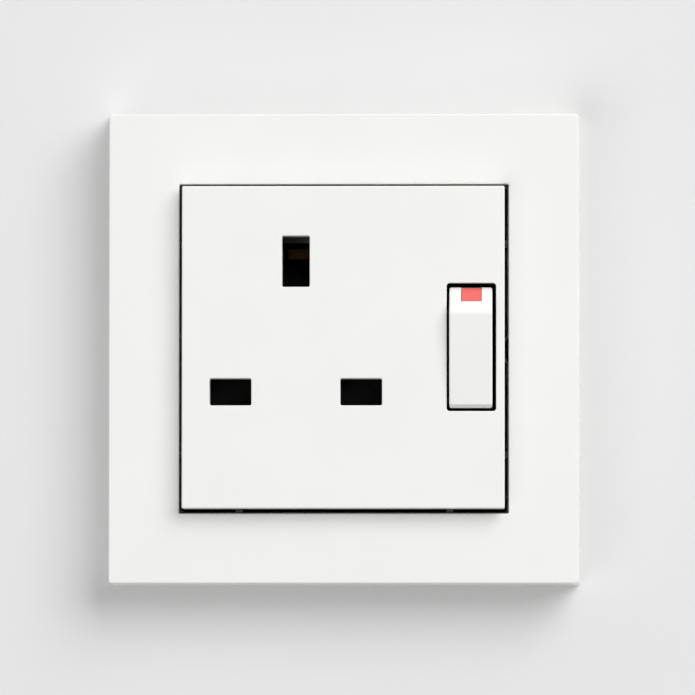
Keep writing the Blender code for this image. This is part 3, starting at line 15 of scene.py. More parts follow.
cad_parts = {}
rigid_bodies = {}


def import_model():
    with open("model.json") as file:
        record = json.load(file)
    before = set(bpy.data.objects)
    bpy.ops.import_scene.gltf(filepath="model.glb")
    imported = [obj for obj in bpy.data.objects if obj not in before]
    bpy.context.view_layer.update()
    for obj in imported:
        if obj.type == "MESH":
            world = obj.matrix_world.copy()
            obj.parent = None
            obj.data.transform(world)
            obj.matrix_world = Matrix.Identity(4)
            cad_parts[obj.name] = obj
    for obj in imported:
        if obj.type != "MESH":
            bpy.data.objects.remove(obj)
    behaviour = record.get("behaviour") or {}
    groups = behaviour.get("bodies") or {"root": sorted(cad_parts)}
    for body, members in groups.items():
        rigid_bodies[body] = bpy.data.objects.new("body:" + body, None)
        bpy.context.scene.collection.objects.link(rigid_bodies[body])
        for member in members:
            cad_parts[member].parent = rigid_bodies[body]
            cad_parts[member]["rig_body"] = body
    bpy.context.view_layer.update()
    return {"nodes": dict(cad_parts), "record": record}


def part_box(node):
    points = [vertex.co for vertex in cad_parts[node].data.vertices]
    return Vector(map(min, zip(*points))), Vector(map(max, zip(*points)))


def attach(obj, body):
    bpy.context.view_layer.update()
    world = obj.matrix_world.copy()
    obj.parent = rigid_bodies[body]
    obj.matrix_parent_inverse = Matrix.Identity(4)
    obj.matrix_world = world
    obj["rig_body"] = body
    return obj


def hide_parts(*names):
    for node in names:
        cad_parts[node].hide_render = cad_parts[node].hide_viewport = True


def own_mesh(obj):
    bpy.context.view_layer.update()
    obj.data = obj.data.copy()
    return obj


bl_info = {
    "name": "Switched Single Socket",
    "version": (1, 0, 0),
    "blender": (4, 5, 0),
    "location": "3D View > Sidebar > Socket",
    "description": "Builds the looks of a switched single socket round its CAD model",
    "category": "Object",
}

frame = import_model()
MM = 0.001
TOUCH = 1e-6  # a point this near to a plane lies on it
MATH = "ShaderNodeMath"
NOISE = "ShaderNodeTexNoise"
RANGE = "ShaderNodeMapRange"
BUMP = "ShaderNodeBump"
# The Mix node has an A and a B for each kind of value, and only their places tell them apart
NUMBER_A, NUMBER_B, COLOUR_A, COLOUR_B, COLOUR_RESULT = 2, 3, 6, 7, 2

# Sizes that the pieces share with the CAD model
GAP = 0.3 * MM
FRAME_LOW, FRAME_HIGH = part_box("cover_frame")
FRAME_FACE = FRAME_LOW.y
FRAME_HALF = FRAME_HIGH.x
FRAME_FACE_WALL = 2.0 * MM
FRAME_SIDE_WALL = 1.8 * MM
COLLAR_WALL = 1.4 * MM
YOKE_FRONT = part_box("support_yoke")[0].y
COLLAR_BACK = YOKE_FRONT - GAP
FLANGE = 0.7 * MM
TONGUE_THICKNESS = 1.0 * MM
RIB_HALF = 0.5 * MM
RIB_OFFSET = 18 * MM
FIXING_REACH = 30.15 * MM
FIXING_ROOM = 3.4 * MM

PLATE_LOW, PLATE_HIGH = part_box("cover_plate")
PLATE_HALF = PLATE_HIGH.x
PLATE_FACE = PLATE_LOW.y
PLATE_BACK = PLATE_FACE + 2.0 * MM
SKIRT_WALL = 1.4 * MM
SHROUD_WALL = 1.0 * MM
SHROUD_BACK = PLATE_BACK + 2.0 * MM
SLOT_ROUND = 0.3 * MM
PIN_X = -8.05 * MM
PIN_SPACING = 22.23 * MM
EARTH_Z = 14.6 * MM
LINE_Z = EARTH_Z - PIN_SPACING
LINE_SLOT = (7.1 * MM, 4.6 * MM)
PIN_SLOTS = (
    (PIN_X, EARTH_Z, 4.7 * MM, 8.7 * MM),
    (PIN_X - PIN_SPACING / 2, LINE_Z, *LINE_SLOT),
    (PIN_X + PIN_SPACING / 2, LINE_Z, *LINE_SLOT),
)
NOSE_FRONT = PLATE_BACK + 2.9 * MM
NOSE_FLAT = 0.4 * MM
NOSE_HEIGHT = 1.4 * MM
NOSE_REACH = 1.5 * MM
NOSE_HALF = 4 * MM
NOSE_OFFSET = 12 * MM

ROCKER_X = 21.8 * MM
ROCKER_OPENING = (8.4 * MM, 21.8 * MM)
ROCKER_TOP = Vector((0, PLATE_FACE + 1.2 * MM, 10.2 * MM))
ROCKER_APEX = Vector((0, PLATE_FACE - 2.0 * MM, 6.0 * MM))
ROCKER_BOTTOM = Vector((0, PLATE_FACE - 0.5 * MM, -10.35 * MM))
ROCKER_SKIRT = ROCKER_TOP.y + 2.0 * MM
ROCKER_RELIEF = ROCKER_SKIRT - 0.8 * MM
RELIEF_HALF = 3 * MM
ROCKER_FACE_WALL = 1.5 * MM
ROCKER_WALL = 1.1 * MM
PIVOT = Vector((ROCKER_X, PLATE_FACE + 5.5 * MM, 0))
PIVOT_RADIUS = 1.2 * MM
PIVOT_PIN = 1.2 * MM
BOSS_HALF = 1.9 * MM
STEM_TILT = math.radians(5.5)
STEM_ALONG = Vector((0, math.cos(STEM_TILT), math.sin(STEM_TILT)))
STEM_RADIUS = 1.5 * MM
STEM_BORE = 1.1 * MM
STEM_LENGTH = 8 * MM
WINDOW_WIDTH = 3.3 * MM
WINDOW_LENGTH = 3.0 * MM
WINDOW_GAP = 0.1 * MM


def linear(code):
    """The linear colour of an sRGB hex value."""
    parts = [int(code[at : at + 2], 16) / 255 for at in (1, 3, 5)]
    return tuple(part / 12.92 if part <= 0.04045 else ((part + 0.055) / 1.055) ** 2.4 for part in parts)


# Settings


def colour_setting(name, description, code):
    """A colour, given as an sRGB hex value."""
    return FloatVectorProperty(
        name=name, description=description, subtype="COLOR", min=0, max=1, default=linear(code)
    )


def length_setting(name, description, default, least=0.0):
    """A length, given in millimetres."""
    return FloatProperty(
        name=name, description=description, default=default * MM, min=least * MM, unit="LENGTH"
    )


def power_setting(name, description, default):
    """A lamp's power, given in watts."""
    return FloatProperty(name=name, description=description, default=default, min=0, unit="POWER")


class SocketFinish(bpy.types.PropertyGroup):
    """Colours of the materials."""

    urea: colour_setting("Urea", "White of the frame, the plate and the rocker", "#F3F3F1")
    window: colour_setting("Window", "Red of the marker in the rocker", "#F2706B")
    black_nylon: colour_setting("Black nylon", "Colour of the shutter and its carrier", "#040404")
    grey_nylon: colour_setting("Grey nylon", "Colour of the rear moulding", "#97999B")
    brass: colour_setting("Brass", "Colour of the contacts and terminals", "#DDBB76")
    zinc: colour_setting("Zinc", "Colour of the plated yoke and screws", "#CDCFD1")
    spring: colour_setting("Spring wire", "Colour of the springs", "#A3A5A9")


class SocketMouldings(bpy.types.PropertyGroup):
    """Sizes of the front mouldings."""

    frame_draft: length_setting("Frame draft", "How much narrower the frame's front is on each side", 0.35)
    frame_drop: length_setting(
        "Frame drop", "How far the frame's front stands below the middle of its back", 0.1
    )
    frame_edge: length_setting("Frame edge", "Radius of the frame's front edge", 0.25)
    frame_corner: length_setting("Frame corner", "Radius of the frame's four corners", 0.6)
    play: length_setting("Play", "Gap on each side between the plate and the frame", 0.58)
    slip: FloatVectorProperty(
        name="Slip", description="How far the frame's opening lies right of the plate's middle and above it",
        default=(0.04 * MM, -0.15 * MM), size=2, unit="LENGTH",
    )
    plate_shrink: length_setting(
        "Plate shrink", "How much the plate's moulding shrinks on each side as it cools", 0.06
    )
    plate_edge: length_setting("Plate edge", "Radius of the plate's front edge", 0.28)
    slot_edge: length_setting("Slot edge", "Radius of the rims of the pin slots and the switch opening", 0.18)
    rocker_edge: length_setting("Rocker edge", "Radius of the rocker's long edges", 0.35)
    rocker_play: length_setting("Rocker play", "How much narrower the rocker is at its right side", 0.18)
    inner_edge: length_setting("Inner edge", "Radius of the edges of the mouldings behind", 0.12)


class SocketHardware(bpy.types.PropertyGroup):
    """Sizes of the screws, springs and sheet metal."""

    fixing_pitch: length_setting("Fixing pitch", "Thread pitch of the wall box screws", 0.6, 0.2)
    tapping_pitch: length_setting("Tapping pitch", "Thread pitch of the body screws", 1.1, 0.2)
    terminal_pitch: length_setting("Terminal pitch", "Thread pitch of the terminal screws", 0.6, 0.2)
    thread_sides: IntProperty(
        name="Thread sides", description="Facets round a thread", default=32, min=8, max=96
    )
    sheet_edge: length_setting("Sheet edge", "Radius that punching and tumbling leave on sheet edges", 0.07)
    wire_sides: IntProperty(
        name="Wire sides", description="Facets round a spring's wire", default=12, min=6, max=48
    )


class SocketStage(bpy.types.PropertyGroup):
    """The wall and the lamps."""

    wall: colour_setting("Wall", "Colour of the wall", "#E4E4E4")
    key: power_setting("Key lamp", "Large soft lamp, upper right", 26.4)
    fill: power_setting("Fill lamp", "Weaker lamp, lower left", 8.6)
    rear: power_setting("Rear lamp", "Soft lamp behind the wall", 6.0)
    sky: FloatProperty(name="Sky", description="Light from all round", default=0.62, min=0)


# Nodes and materials


def give(tree, node, values):
    """Sets a node's inputs, by name or in order, to plain values or to the nodes or sockets to link."""
    for key, value in values.items() if isinstance(values, dict) else enumerate(values):
        if isinstance(value, bpy.types.Node):
            value = value.outputs[0]
        if isinstance(value, bpy.types.NodeSocket):
            tree.links.new(value, node.inputs[key])
        else:
            node.inputs[key].default_value = value


def add(tree, kind, values=(), operation=None, **settings):
    """Adds a node with its inputs, its operation if it has one, and its other settings."""
    node = tree.nodes.new(kind)
    if operation:
        node.operation = operation
    for name, value in settings.items():
        setattr(node, name, value)
    give(tree, node, values)
    return node


def new_material(name):
    """An empty material, its tree, its shader and its Object coordinates in millimetres."""
    made = bpy.data.materials.new(name)
    made.use_nodes = True
    tree = made.node_tree
    place = add(tree, "ShaderNodeTexCoord").outputs["Object"]
    scaled = add(tree, "ShaderNodeVectorMath", (place, (1 / MM, 1 / MM, 1 / MM)), "MULTIPLY")
    return made, tree, tree.nodes["Principled BSDF"], scaled


def tones(tree, noise, dark, light):
    """A colour between two, by a noise whose middle values are spread over the whole way."""
    factor = add(tree, RANGE, {"Value": noise, "From Min": 0.34, "From Max": 0.66})
    ends = {"Factor": factor, COLOUR_A: (*dark, 1), COLOUR_B: (*light, 1)}
    return add(tree, "ShaderNodeMix", ends, data_type="RGBA").outputs[COLOUR_RESULT]


def shade(colour, *shares):
    """A colour times one share, or times a share for each of its parts."""
    return tuple(part * share for part, share in zip(colour, shares * 3))


def moulded_urea(tree, place, white):
    """Urea, pressed in a polished mould: hard and glossy, with a faint orange peel a millimetre wide."""
    # Clouds 14 mm wide, marks of wiping 3 mm wide
    cloud = add(tree, NOISE, {"Vector": place, "Scale": 1 / 14, "Detail": 3.0})
    wipe = add(tree, NOISE, {"Vector": place, "Scale": 1 / 3, "Detail": 4.0, "Roughness": 0.6})
    peel = add(tree, NOISE, {"Vector": place, "Scale": 1 / 1.1, "Detail": 2.0})
    return {
        "Base Color": tones(tree, cloud, shade(white, 0.985), white),
        "Roughness": add(tree, RANGE, {"Value": wipe, "To Min": 0.16, "To Max": 0.24}),
        "Normal": add(tree, BUMP, {"Strength": 0.25, "Distance": 0.004 * MM, "Height": peel}),
        "IOR": 1.54,
    }


def tinted_polycarbonate(tree, place, red):
    """Red polycarbonate, moulded: clear enough for light to run inside it, so it glows a little."""
    # Clouds of pigment 1.5 mm wide
    cloud = add(tree, NOISE, {"Vector": place, "Scale": 1 / 1.5, "Detail": 2.0})
    return {
        "Base Color": tones(tree, cloud, shade(red, 0.93), red),
        "Roughness": add(tree, RANGE, {"Value": cloud, "To Min": 0.14, "To Max": 0.26}),
        "IOR": 1.585,
        "Subsurface Weight": 0.25,
        "Subsurface Radius": (1.0, 0.2, 0.15),
        "Subsurface Scale": 0.6 * MM,
    }


def moulded_nylon(tree, place, nylon, grain, roughness, specular):
    """Glass-filled nylon from a spark-eroded mould: a satin skin with a fine pitted grain and flow clouds."""
    # Flow clouds 9 mm wide, pits as wide as the grain
    flow = add(tree, NOISE, {"Vector": place, "Scale": 1 / 9, "Detail": 4.0, "Distortion": 1.2})
    pits = add(tree, "ShaderNodeTexVoronoi", {"Vector": place, "Scale": 1 / grain}, feature="F1")
    satin = {"Value": pits, "To Min": roughness - 0.06, "To Max": roughness + 0.08}
    return {
        "Base Color": tones(tree, flow, shade(nylon, 0.95), shade(nylon, 1.04)),
        "Roughness": add(tree, RANGE, satin),
        "Normal": add(tree, BUMP, {"Strength": 0.5, "Distance": 0.02 * MM, "Height": pits}),
        "Specular IOR Level": specular,
        "IOR": 1.53,
    }


def rolled_brass(tree, place, brass):
    """Brass sheet, rolled and stamped: fine lines along the rolling, with a warmer bloom of tarnish."""
    # Blooms 4 mm wide; rolling lines 6 mm long, 0.15 mm apart because the real ones are too fine to show
    bloom = add(tree, NOISE, {"Vector": place, "Scale": 1 / 4, "Detail": 5.0, "Roughness": 0.6})
    lines = add(tree, "ShaderNodeVectorMath", (place, (1 / 0.15, 1 / 0.15, 1 / 6)), "MULTIPLY")
    streak = add(tree, NOISE, {"Vector": lines, "Scale": 1.0, "Detail": 2.0})
    return {
        "Base Color": tones(tree, bloom, shade(brass, 0.86, 0.76, 0.58), brass),
        "Roughness": add(tree, RANGE, {"Value": streak, "To Min": 0.22, "To Max": 0.42}),
        "Normal": add(tree, BUMP, {"Strength": 0.3, "Distance": 0.004 * MM, "Height": streak}),
        "Metallic": 1.0,
    }


def bright_zinc(tree, place, zinc):
    """Steel with bright zinc plate: blue-grey with faint straw clouds where the passivation is thicker."""
    # Straw clouds 6 mm wide, frosty crystals 0.4 mm wide
    cloud = add(tree, NOISE, {"Vector": place, "Scale": 1 / 6, "Detail": 4.0, "Distortion": 0.8})
    frost = add(tree, NOISE, {"Vector": place, "Scale": 1 / 0.4, "Detail": 3.0})
    return {
        "Base Color": tones(tree, cloud, shade(zinc, 0.93, 0.89, 0.79), zinc),
        "Roughness": add(tree, RANGE, {"Value": frost, "To Min": 0.2, "To Max": 0.46}),
        "Normal": add(tree, BUMP, {"Strength": 0.5, "Distance": 0.012 * MM, "Height": frost}),
        "Metallic": 1.0,
    }


def drawn_wire(tree, place, steel):
    """Spring steel wire, drawn through a die: smooth and grey, with darker patches of drawing soap."""
    # Patches 0.8 mm wide
    soap = add(tree, NOISE, {"Vector": place, "Scale": 1 / 0.8, "Detail": 4.0})
    return {
        "Base Color": tones(tree, soap, shade(steel, 0.7), steel),
        "Roughness": add(tree, RANGE, {"Value": soap, "To Min": 0.4, "To Max": 0.22}),
        "Metallic": 1.0,
    }


# Each of the record's material slots: its material's name, what gives the shader's inputs, the setting of
# its colour, and for nylon the grain in millimetres, the roughness and the specular level
FINISHES = {
    "white_thermoset": ("moulded_urea", moulded_urea, "urea"),
    "red_polycarbonate": ("tinted_polycarbonate", tinted_polycarbonate, "window"),
    "black_nylon": ("satin_black_nylon", moulded_nylon, "black_nylon", 0.25, 0.6, 0.06),
    "grey_nylon": ("satin_grey_nylon", moulded_nylon, "grey_nylon", 0.3, 0.5, 0.5),
    "zinc_plated_steel": ("bright_zinc", bright_zinc, "zinc"),
    "brass": ("rolled_brass", rolled_brass, "brass"),
    "spring_steel": ("drawn_wire", drawn_wire, "spring"),
}


def slot_of(node):
    """The record's material slot of a CAD node."""
    for part in frame["record"]["subparts"]:
        if part["node"] == node:
            return part["material_slot"]
    raise ValueError(f"the record has no node {node}")


def finish(slot):
    """The material of a slot, made the first time that a piece asks for it."""
    name, looks, colour, *values = FINISHES[slot]
    if name in bpy.data.materials:
        return bpy.data.materials[name]
    made, tree, shader, place = new_material(name)
    tone = getattr(bpy.context.scene.socket_finish, colour)
    give(tree, shader, looks(tree, place, tone, *values))
    return made


# Outlines and meshes


def rounded(points, radius, steps=8):
    """An outline with an arc at each corner; a radius can be one number or one for each corner."""
    radii = radius if isinstance(radius, (list, tuple)) else [radius] * len(points)
    most = 0.45  # of a side's length that an arc may take up
    outline = []
    for index, corner in enumerate(points):
        here = Vector(corner)
        before = Vector(points[index - 1]) - here
        after = Vector(points[(index + 1) % len(points)]) - here
        if radii[index] <= 0:
            outline.append(tuple(here))
            continue
        half = before.angle(after) / 2
        reach = min(radii[index] / math.tan(half), most * before.length, most * after.length)
        start = here + before.normalized() * reach
        end = here + after.normalized() * reach
        inward = (before.normalized() + after.normalized()).normalized()
        centre = here + inward * reach / math.cos(half)
        turn = (start - centre).angle_signed(end - centre)
        for step in range(steps + 1):
            arm = (start - centre).copy()
            arm.rotate(Matrix.Rotation(-turn * step / steps, 2))
            outline.append(tuple(centre + arm))
    return outline


def rounded_rectangle(x, z, width, height, radius, steps=8):
    sides = ((-1, -1), (1, -1), (1, 1), (-1, 1))
    return rounded([(x + across * width / 2, z + up * height / 2) for across, up in sides], radius, steps)


def faced_outward(mesh):
    bmesh.ops.recalc_face_normals(mesh, faces=mesh.faces)
    return mesh


def prism(outline, low, high, axis="Y"):
    """A solid from an outline in (x, z) along Y, or in (y, z) along X."""
    mesh = bmesh.new()
    if axis == "Y":
        verts = [mesh.verts.new((u, low, v)) for u, v in outline]
        along = Vector((0, high - low, 0))
    else:
        verts = [mesh.verts.new((low, u, v)) for u, v in outline]
        along = Vector((high - low, 0, 0))
    face = mesh.faces.new(verts)
    extruded = bmesh.ops.extrude_face_region(mesh, geom=[face], use_keep_orig=True)
    moved = [part for part in extruded["geom"] if isinstance(part, bmesh.types.BMVert)]
    bmesh.ops.translate(mesh, vec=along, verts=moved)
    return faced_outward(mesh)


def box(low, high):
    mesh = bmesh.new()
    bmesh.ops.create_cube(mesh, size=1.0)
    bmesh.ops.scale(mesh, vec=Vector(high) - Vector(low), verts=mesh.verts)
    bmesh.ops.translate(mesh, vec=(Vector(high) + Vector(low)) / 2, verts=mesh.verts)
    return mesh


def rod(start, end, radius, sides=48):
    """A cylinder between two points."""
    along = Vector(end) - Vector(start)
    mesh = bmesh.new()
    bmesh.ops.create_cone(
        mesh, cap_ends=True, segments=sides, radius1=radius, radius2=radius, depth=along.length
    )
    turn = along.to_track_quat("Z", "Y").to_matrix().to_4x4()
    place = Matrix.Translation((Vector(start) + Vector(end)) / 2) @ turn
    bmesh.ops.transform(mesh, matrix=place, verts=mesh.verts)
    return mesh


def bevelled(mesh, chosen, radius, segments):
    """Rounds the edges that a test picks out."""
    edges = [edge for edge in mesh.edges if chosen(edge)]
    bmesh.ops.bevel(mesh, geom=edges, offset=radius, segments=segments, profile=0.5, affect="EDGES")
    return faced_outward(mesh)


def ring_loft(sections, steps):
    """A closed square ring: each section is (half side, depth, corner radius, middle as (x, z))."""
    mesh = bmesh.new()
    loops = []
    for half, depth, radius, middle in sections:
        outline = rounded_rectangle(*middle, 2 * half, 2 * half, radius, steps)
        loops.append([mesh.verts.new((u, depth, v)) for u, v in outline])
    for index, loop in enumerate(loops):
        following = loops[(index + 1) % len(loops)]
        for at in range(len(loop)):
            ahead = (at + 1) % len(loop)
            mesh.faces.new((loop[at], loop[ahead], following[ahead], following[at]))
    return faced_outward(mesh)


def turned_mesh(profile, sides=48):
    """A closed turned shape about Z from a profile of (radius, height)."""
    mesh = bmesh.new()
    verts = [mesh.verts.new((radius, 0, height)) for radius, height in profile]
    edges = [mesh.edges.new(pair) for pair in zip(verts, verts[1:])]
    bmesh.ops.spin(
        mesh, geom=verts + edges, cent=(0, 0, 0), axis=(0, 0, 1),
        angle=2 * math.pi, steps=sides, use_merge=True,
    )
    bmesh.ops.remove_doubles(mesh, verts=mesh.verts, dist=0.002 * MM)
    return faced_outward(mesh)


def mesh_of(data):
    """A mesh to work on, from an object's or a node's data."""
    mesh = bmesh.new()
    mesh.from_mesh(data)
    return mesh


# Objects


def new_object(name, data):
    made = bpy.data.objects.new(name, data)
    bpy.context.scene.collection.objects.link(made)
    return made


def piece_of(name, mesh):
    data = bpy.data.meshes.new(name)
    mesh.to_mesh(data)
    mesh.free()
    return new_object(name, data)


def discarded(piece):
    """Takes a helper out of the scene, with its mesh."""
    data = piece.data
    bpy.data.objects.remove(piece)
    bpy.data.meshes.remove(data)


def baked(piece):
    """Turns a piece's modifiers into plain mesh."""
    graph = bpy.context.evaluated_depsgraph_get()
    data = bpy.data.meshes.new_from_object(piece.evaluated_get(graph))
    spent = piece.data
    piece.modifiers.clear()
    piece.data = data
    bpy.data.meshes.remove(spent)
    data.name = piece.name
    return piece


def shaped(piece, steps):
    """Joins meshes to a piece and cuts others from it, in order; a step is (operation, mesh)."""
    tools = []
    for number, (operation, mesh) in enumerate(steps):
        tool = piece_of(f"{piece.name}_tool_{number}", mesh)
        modifier = piece.modifiers.new(tool.name, "BOOLEAN")
        modifier.operation = operation
        modifier.solver = "EXACT"
        modifier.object = tool
        tools.append(tool)
    baked(piece)
    for tool in tools:
        discarded(tool)
    return piece


def smoothed(piece, edge=0.0):
    """Rounds a piece's edges if a radius is given, and smooths its shading without bending its flats."""
    if edge > 0:
        bevel = piece.modifiers.new("edges", "BEVEL")
        bevel.width = edge
        bevel.segments = 2
        bevel.limit_method = "ANGLE"
        bevel.angle_limit = math.radians(35)
        bevel.miter_outer = "MITER_ARC"
        baked(piece)
    piece.data.shade_smooth()
    piece.data.set_sharp_from_angle(angle=math.radians(48))
    normals = piece.modifiers.new("normals", "WEIGHTED_NORMAL")
    normals.keep_sharp = True
    return baked(piece)


def hand_over(piece, node):
    """Gives a finished piece its material and its body, in place of the CAD node that it stands for."""
    slot = slot_of(node)
    piece.data.materials.clear()
    piece.data.materials.append(finish(slot))
    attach(piece, frame["nodes"][node]["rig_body"])
    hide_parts(node)
    return piece


def soft_copies(pairs, edge):
    """Pieces that follow their CAD nodes, with the edges that moulding or punching leaves."""
    for name, node in pairs:
        mesh = mesh_of(frame["nodes"][node].data)
        bmesh.ops.remove_doubles(mesh, verts=mesh.verts, dist=0.001 * MM)
        bmesh.ops.dissolve_limit(
            mesh, angle_limit=math.radians(0.5), verts=mesh.verts, edges=mesh.edges
        )
        hand_over(smoothed(piece_of(name, mesh), edge), node)


# Geometry Nodes


def new_tree(name, sizes):
    """A Geometry Nodes tree whose inputs are a mesh, named sizes and a material, and those inputs."""
    tree = bpy.data.node_groups.new(name, "GeometryNodeTree")
    interface = tree.interface
    interface.new_socket(name="Geometry", in_out="INPUT", socket_type="NodeSocketGeometry")
    for label, value in sizes.items():
        kind = "NodeSocketInt" if isinstance(value, int) else "NodeSocketFloat"
        interface.new_socket(name=label, in_out="INPUT", socket_type=kind).default_value = value
    interface.new_socket(name="Material", in_out="INPUT", socket_type="NodeSocketMaterial")
    interface.new_socket(name="Geometry", in_out="OUTPUT", socket_type="NodeSocketGeometry")
    return tree, add(tree, "NodeGroupInput").outputs


def end_tree(tree, geometry, size):
    """Ends a tree: makes its instances real, smooths them and gives them the material."""
    real = add(tree, "GeometryNodeRealizeInstances", {"Geometry": geometry})
    smooth = add(tree, "GeometryNodeSetShadeSmooth", {"Geometry": real, "Shade Smooth": True})
    painted = add(tree, "GeometryNodeSetMaterial", {"Geometry": smooth, "Material": size["Material"]})
    add(tree, "NodeGroupOutput", {"Geometry": painted})
    return tree


def column(tree, size, radius, length):
    """A capped cylinder round Z, in rows of points, and the coordinates of its points."""
    values = {"Vertices": size["Sides"], "Side Segments": size["Rows"], "Radius": radius, "Depth": length}
    made = add(tree, "GeometryNodeMeshCylinder", values, fill_type="NGON")
    return made, add(tree, "ShaderNodeSeparateXYZ", [add(tree, "GeometryNodeInputPosition")]).outputs


def drawn_in(tree, body, x, y, z, share):
    """A column whose points move to a share of their distance from Z, and to a height."""
    across = [add(tree, MATH, (axis, share), "MULTIPLY") for axis in (x, y)]
    moved = add(tree, "ShaderNodeCombineXYZ", (*across, z))
    return add(tree, "GeometryNodeSetPosition", {"Geometry": body, "Position": moved})


def thread_tree():
    """A threaded shank hung below the origin: a cylinder whose radius rises and falls along a helix."""
    tree, size = new_tree("thread", {
        "Radius": 1.5 * MM, "Length": 10 * MM, "Pitch": 0.6 * MM, "Depth": 0.3 * MM, "Point": 0.5 * MM,
        "Sides": 32, "Rows": 100,
    })
    body, (x, y, z) = column(tree, size, size["Radius"], size["Length"])

    # How deep the thread bites: a wave along the helix that runs out one and a half pitches below the head
    angle = add(tree, MATH, (y, x), "ARCTAN2")
    turn = add(tree, MATH, (angle, 2 * math.pi), "DIVIDE")
    climb = add(tree, MATH, (z, size["Pitch"]), "DIVIDE")
    along = add(tree, MATH, (climb, turn), "SUBTRACT")
    phase = add(tree, MATH, [along], "FRACT")
    swing = add(tree, MATH, (phase, 2.0, -1.0), "MULTIPLY_ADD")
    wave = add(tree, MATH, [swing], "ABSOLUTE")
    steep = add(tree, MATH, (wave, 1.25), "MULTIPLY")
    hollow = add(tree, MATH, (steep, 1.0, 0.2), "SMOOTH_MIN")
    half = add(tree, MATH, (size["Length"], 0.5), "MULTIPLY")
    below_head = add(tree, MATH, (half, z), "SUBTRACT")
    fade = add(tree, MATH, (size["Pitch"], 1.5), "MULTIPLY")
    run_out = add(tree, MATH, (below_head, fade), "DIVIDE", use_clamp=True)
    full = add(tree, MATH, (hollow, size["Depth"]), "MULTIPLY")
    bite = add(tree, MATH, (full, run_out), "MULTIPLY")
    cut = add(tree, MATH, (size["Radius"], bite), "SUBTRACT")

    # A cone at the tip
    tip = add(tree, MATH, (size["Radius"], size["Point"]), "SUBTRACT")
    from_tip = add(tree, MATH, (half, z), "ADD")
    cone = add(tree, MATH, (tip, from_tip), "ADD")
    radius = add(tree, MATH, (cut, cone), "MINIMUM")
    share = add(tree, MATH, (radius, size["Radius"]), "DIVIDE")
    hung = add(tree, MATH, (z, half), "SUBTRACT")
    shank = drawn_in(tree, body, x, y, hung, share)
    joined = add(tree, "GeometryNodeJoinGeometry")
    for part in (size["Geometry"], shank.outputs[0]):
        tree.links.new(part, joined.inputs[0])
    return end_tree(tree, joined, size)


def rivet_tree():
    """A rivet that stands on the origin: a cylinder drawn in to a shank between two domed heads."""
    tree, size = new_tree("rivet", {
        "Shank Radius": 1 * MM, "Head Radius": 1.9 * MM, "Head Height": 0.7 * MM, "Grip": 2 * MM,
        "Sides": 32, "Rows": 80,
    })
    whole = add(tree, MATH, (size["Head Height"], 2.0, size["Grip"]), "MULTIPLY_ADD")
    body, (x, y, z) = column(tree, size, 1.0, whole)
    from_middle = add(tree, MATH, [z], "ABSOLUTE")
    half_grip = add(tree, MATH, (size["Grip"], 0.5), "MULTIPLY")
    beyond = add(tree, MATH, (from_middle, half_grip), "SUBTRACT")
    above = add(tree, MATH, (beyond, 0.0), "MAXIMUM")
    rise = add(tree, MATH, (above, size["Head Height"]), "DIVIDE", use_clamp=True)
    squared = add(tree, MATH, (rise, rise), "MULTIPLY")
    # A little over 1, so that the dome closes without a root of less than nothing
    left = add(tree, MATH, (1.0002, squared), "SUBTRACT")
    round_off = add(tree, MATH, [left], "SQRT")
    dome = add(tree, MATH, (size["Head Radius"], round_off), "MULTIPLY")
    in_head = add(tree, MATH, (beyond, 0.0), "GREATER_THAN")
    radii = {"Factor": in_head, NUMBER_A: size["Shank Radius"], NUMBER_B: dome}
    radius = add(tree, "ShaderNodeMix", radii)
    return end_tree(tree, drawn_in(tree, body, x, y, z, radius), size)


def coil_tree():
    """A compression spring that stands on the origin, with its last half turns flat at both ends."""
    tree, size = new_tree("coil", {
        "Radius": 1 * MM, "Wire": 0.2 * MM, "Length": 10 * MM, "Turns": 7.0, "Sides": 12,
    })
    spiral = add(tree, "GeometryNodeCurveSpiral", {
        "Resolution": 28, "Rotations": size["Turns"],
        "Start Radius": size["Radius"], "End Radius": size["Radius"], "Height": 0.0,
    })
    along = add(tree, "GeometryNodeSplineParameter").outputs["Factor"]
    flat = add(tree, MATH, (0.5, size["Turns"]), "DIVIDE")
    both = add(tree, MATH, (flat, 2.0), "MULTIPLY")
    span = add(tree, MATH, (1.0, both), "SUBTRACT")
    past = add(tree, MATH, (along, flat), "SUBTRACT")
    share = add(tree, MATH, (past, span), "DIVIDE", use_clamp=True)
    thick = add(tree, MATH, (size["Wire"], 2.0), "MULTIPLY")
    free = add(tree, MATH, (size["Length"], thick), "SUBTRACT")
    height = add(tree, MATH, (share, free, size["Wire"]), "MULTIPLY_ADD")
    lift = add(tree, "ShaderNodeCombineXYZ", {2: height})
    line = add(tree, "GeometryNodeSetPosition", {"Geometry": spiral, "Offset": lift})
    section = add(
        tree, "GeometryNodeCurvePrimitiveCircle", {"Resolution": size["Sides"], "Radius": size["Wire"]}
    )
    wire = add(
        tree, "GeometryNodeCurveToMesh", {"Curve": line, "Profile Curve": section, "Fill Caps": True}
    )
    return end_tree(tree, wire, size)


TREES = {"thread": thread_tree, "rivet": rivet_tree, "coil": coil_tree}


def grown(name, node, mesh, tree_name, sizes, foot, along):
    """The piece of a node that a tree grows from a mesh, stood on a foot point and baked in place."""
    piece = piece_of(name, mesh)
    tree = bpy.data.node_groups.get(tree_name) or TREES[tree_name]()
    modifier = piece.modifiers.new(tree_name, "NODES")
    modifier.node_group = tree
    given = {**sizes, "Material": finish(slot_of(node))}
    for item in tree.interface.items_tree:
        if item.in_out == "INPUT" and item.name in given:
            modifier[item.identifier] = given[item.name]
    piece.update_tag()
    baked(piece)
    place = Matrix.Translation(foot) @ Vector(along).to_track_quat("Z", "Y").to_matrix().to_4x4()
    piece.data.transform(place)
    piece.data.set_sharp_from_angle(angle=math.radians(50))
    return hand_over(piece, node)


# Front mouldings


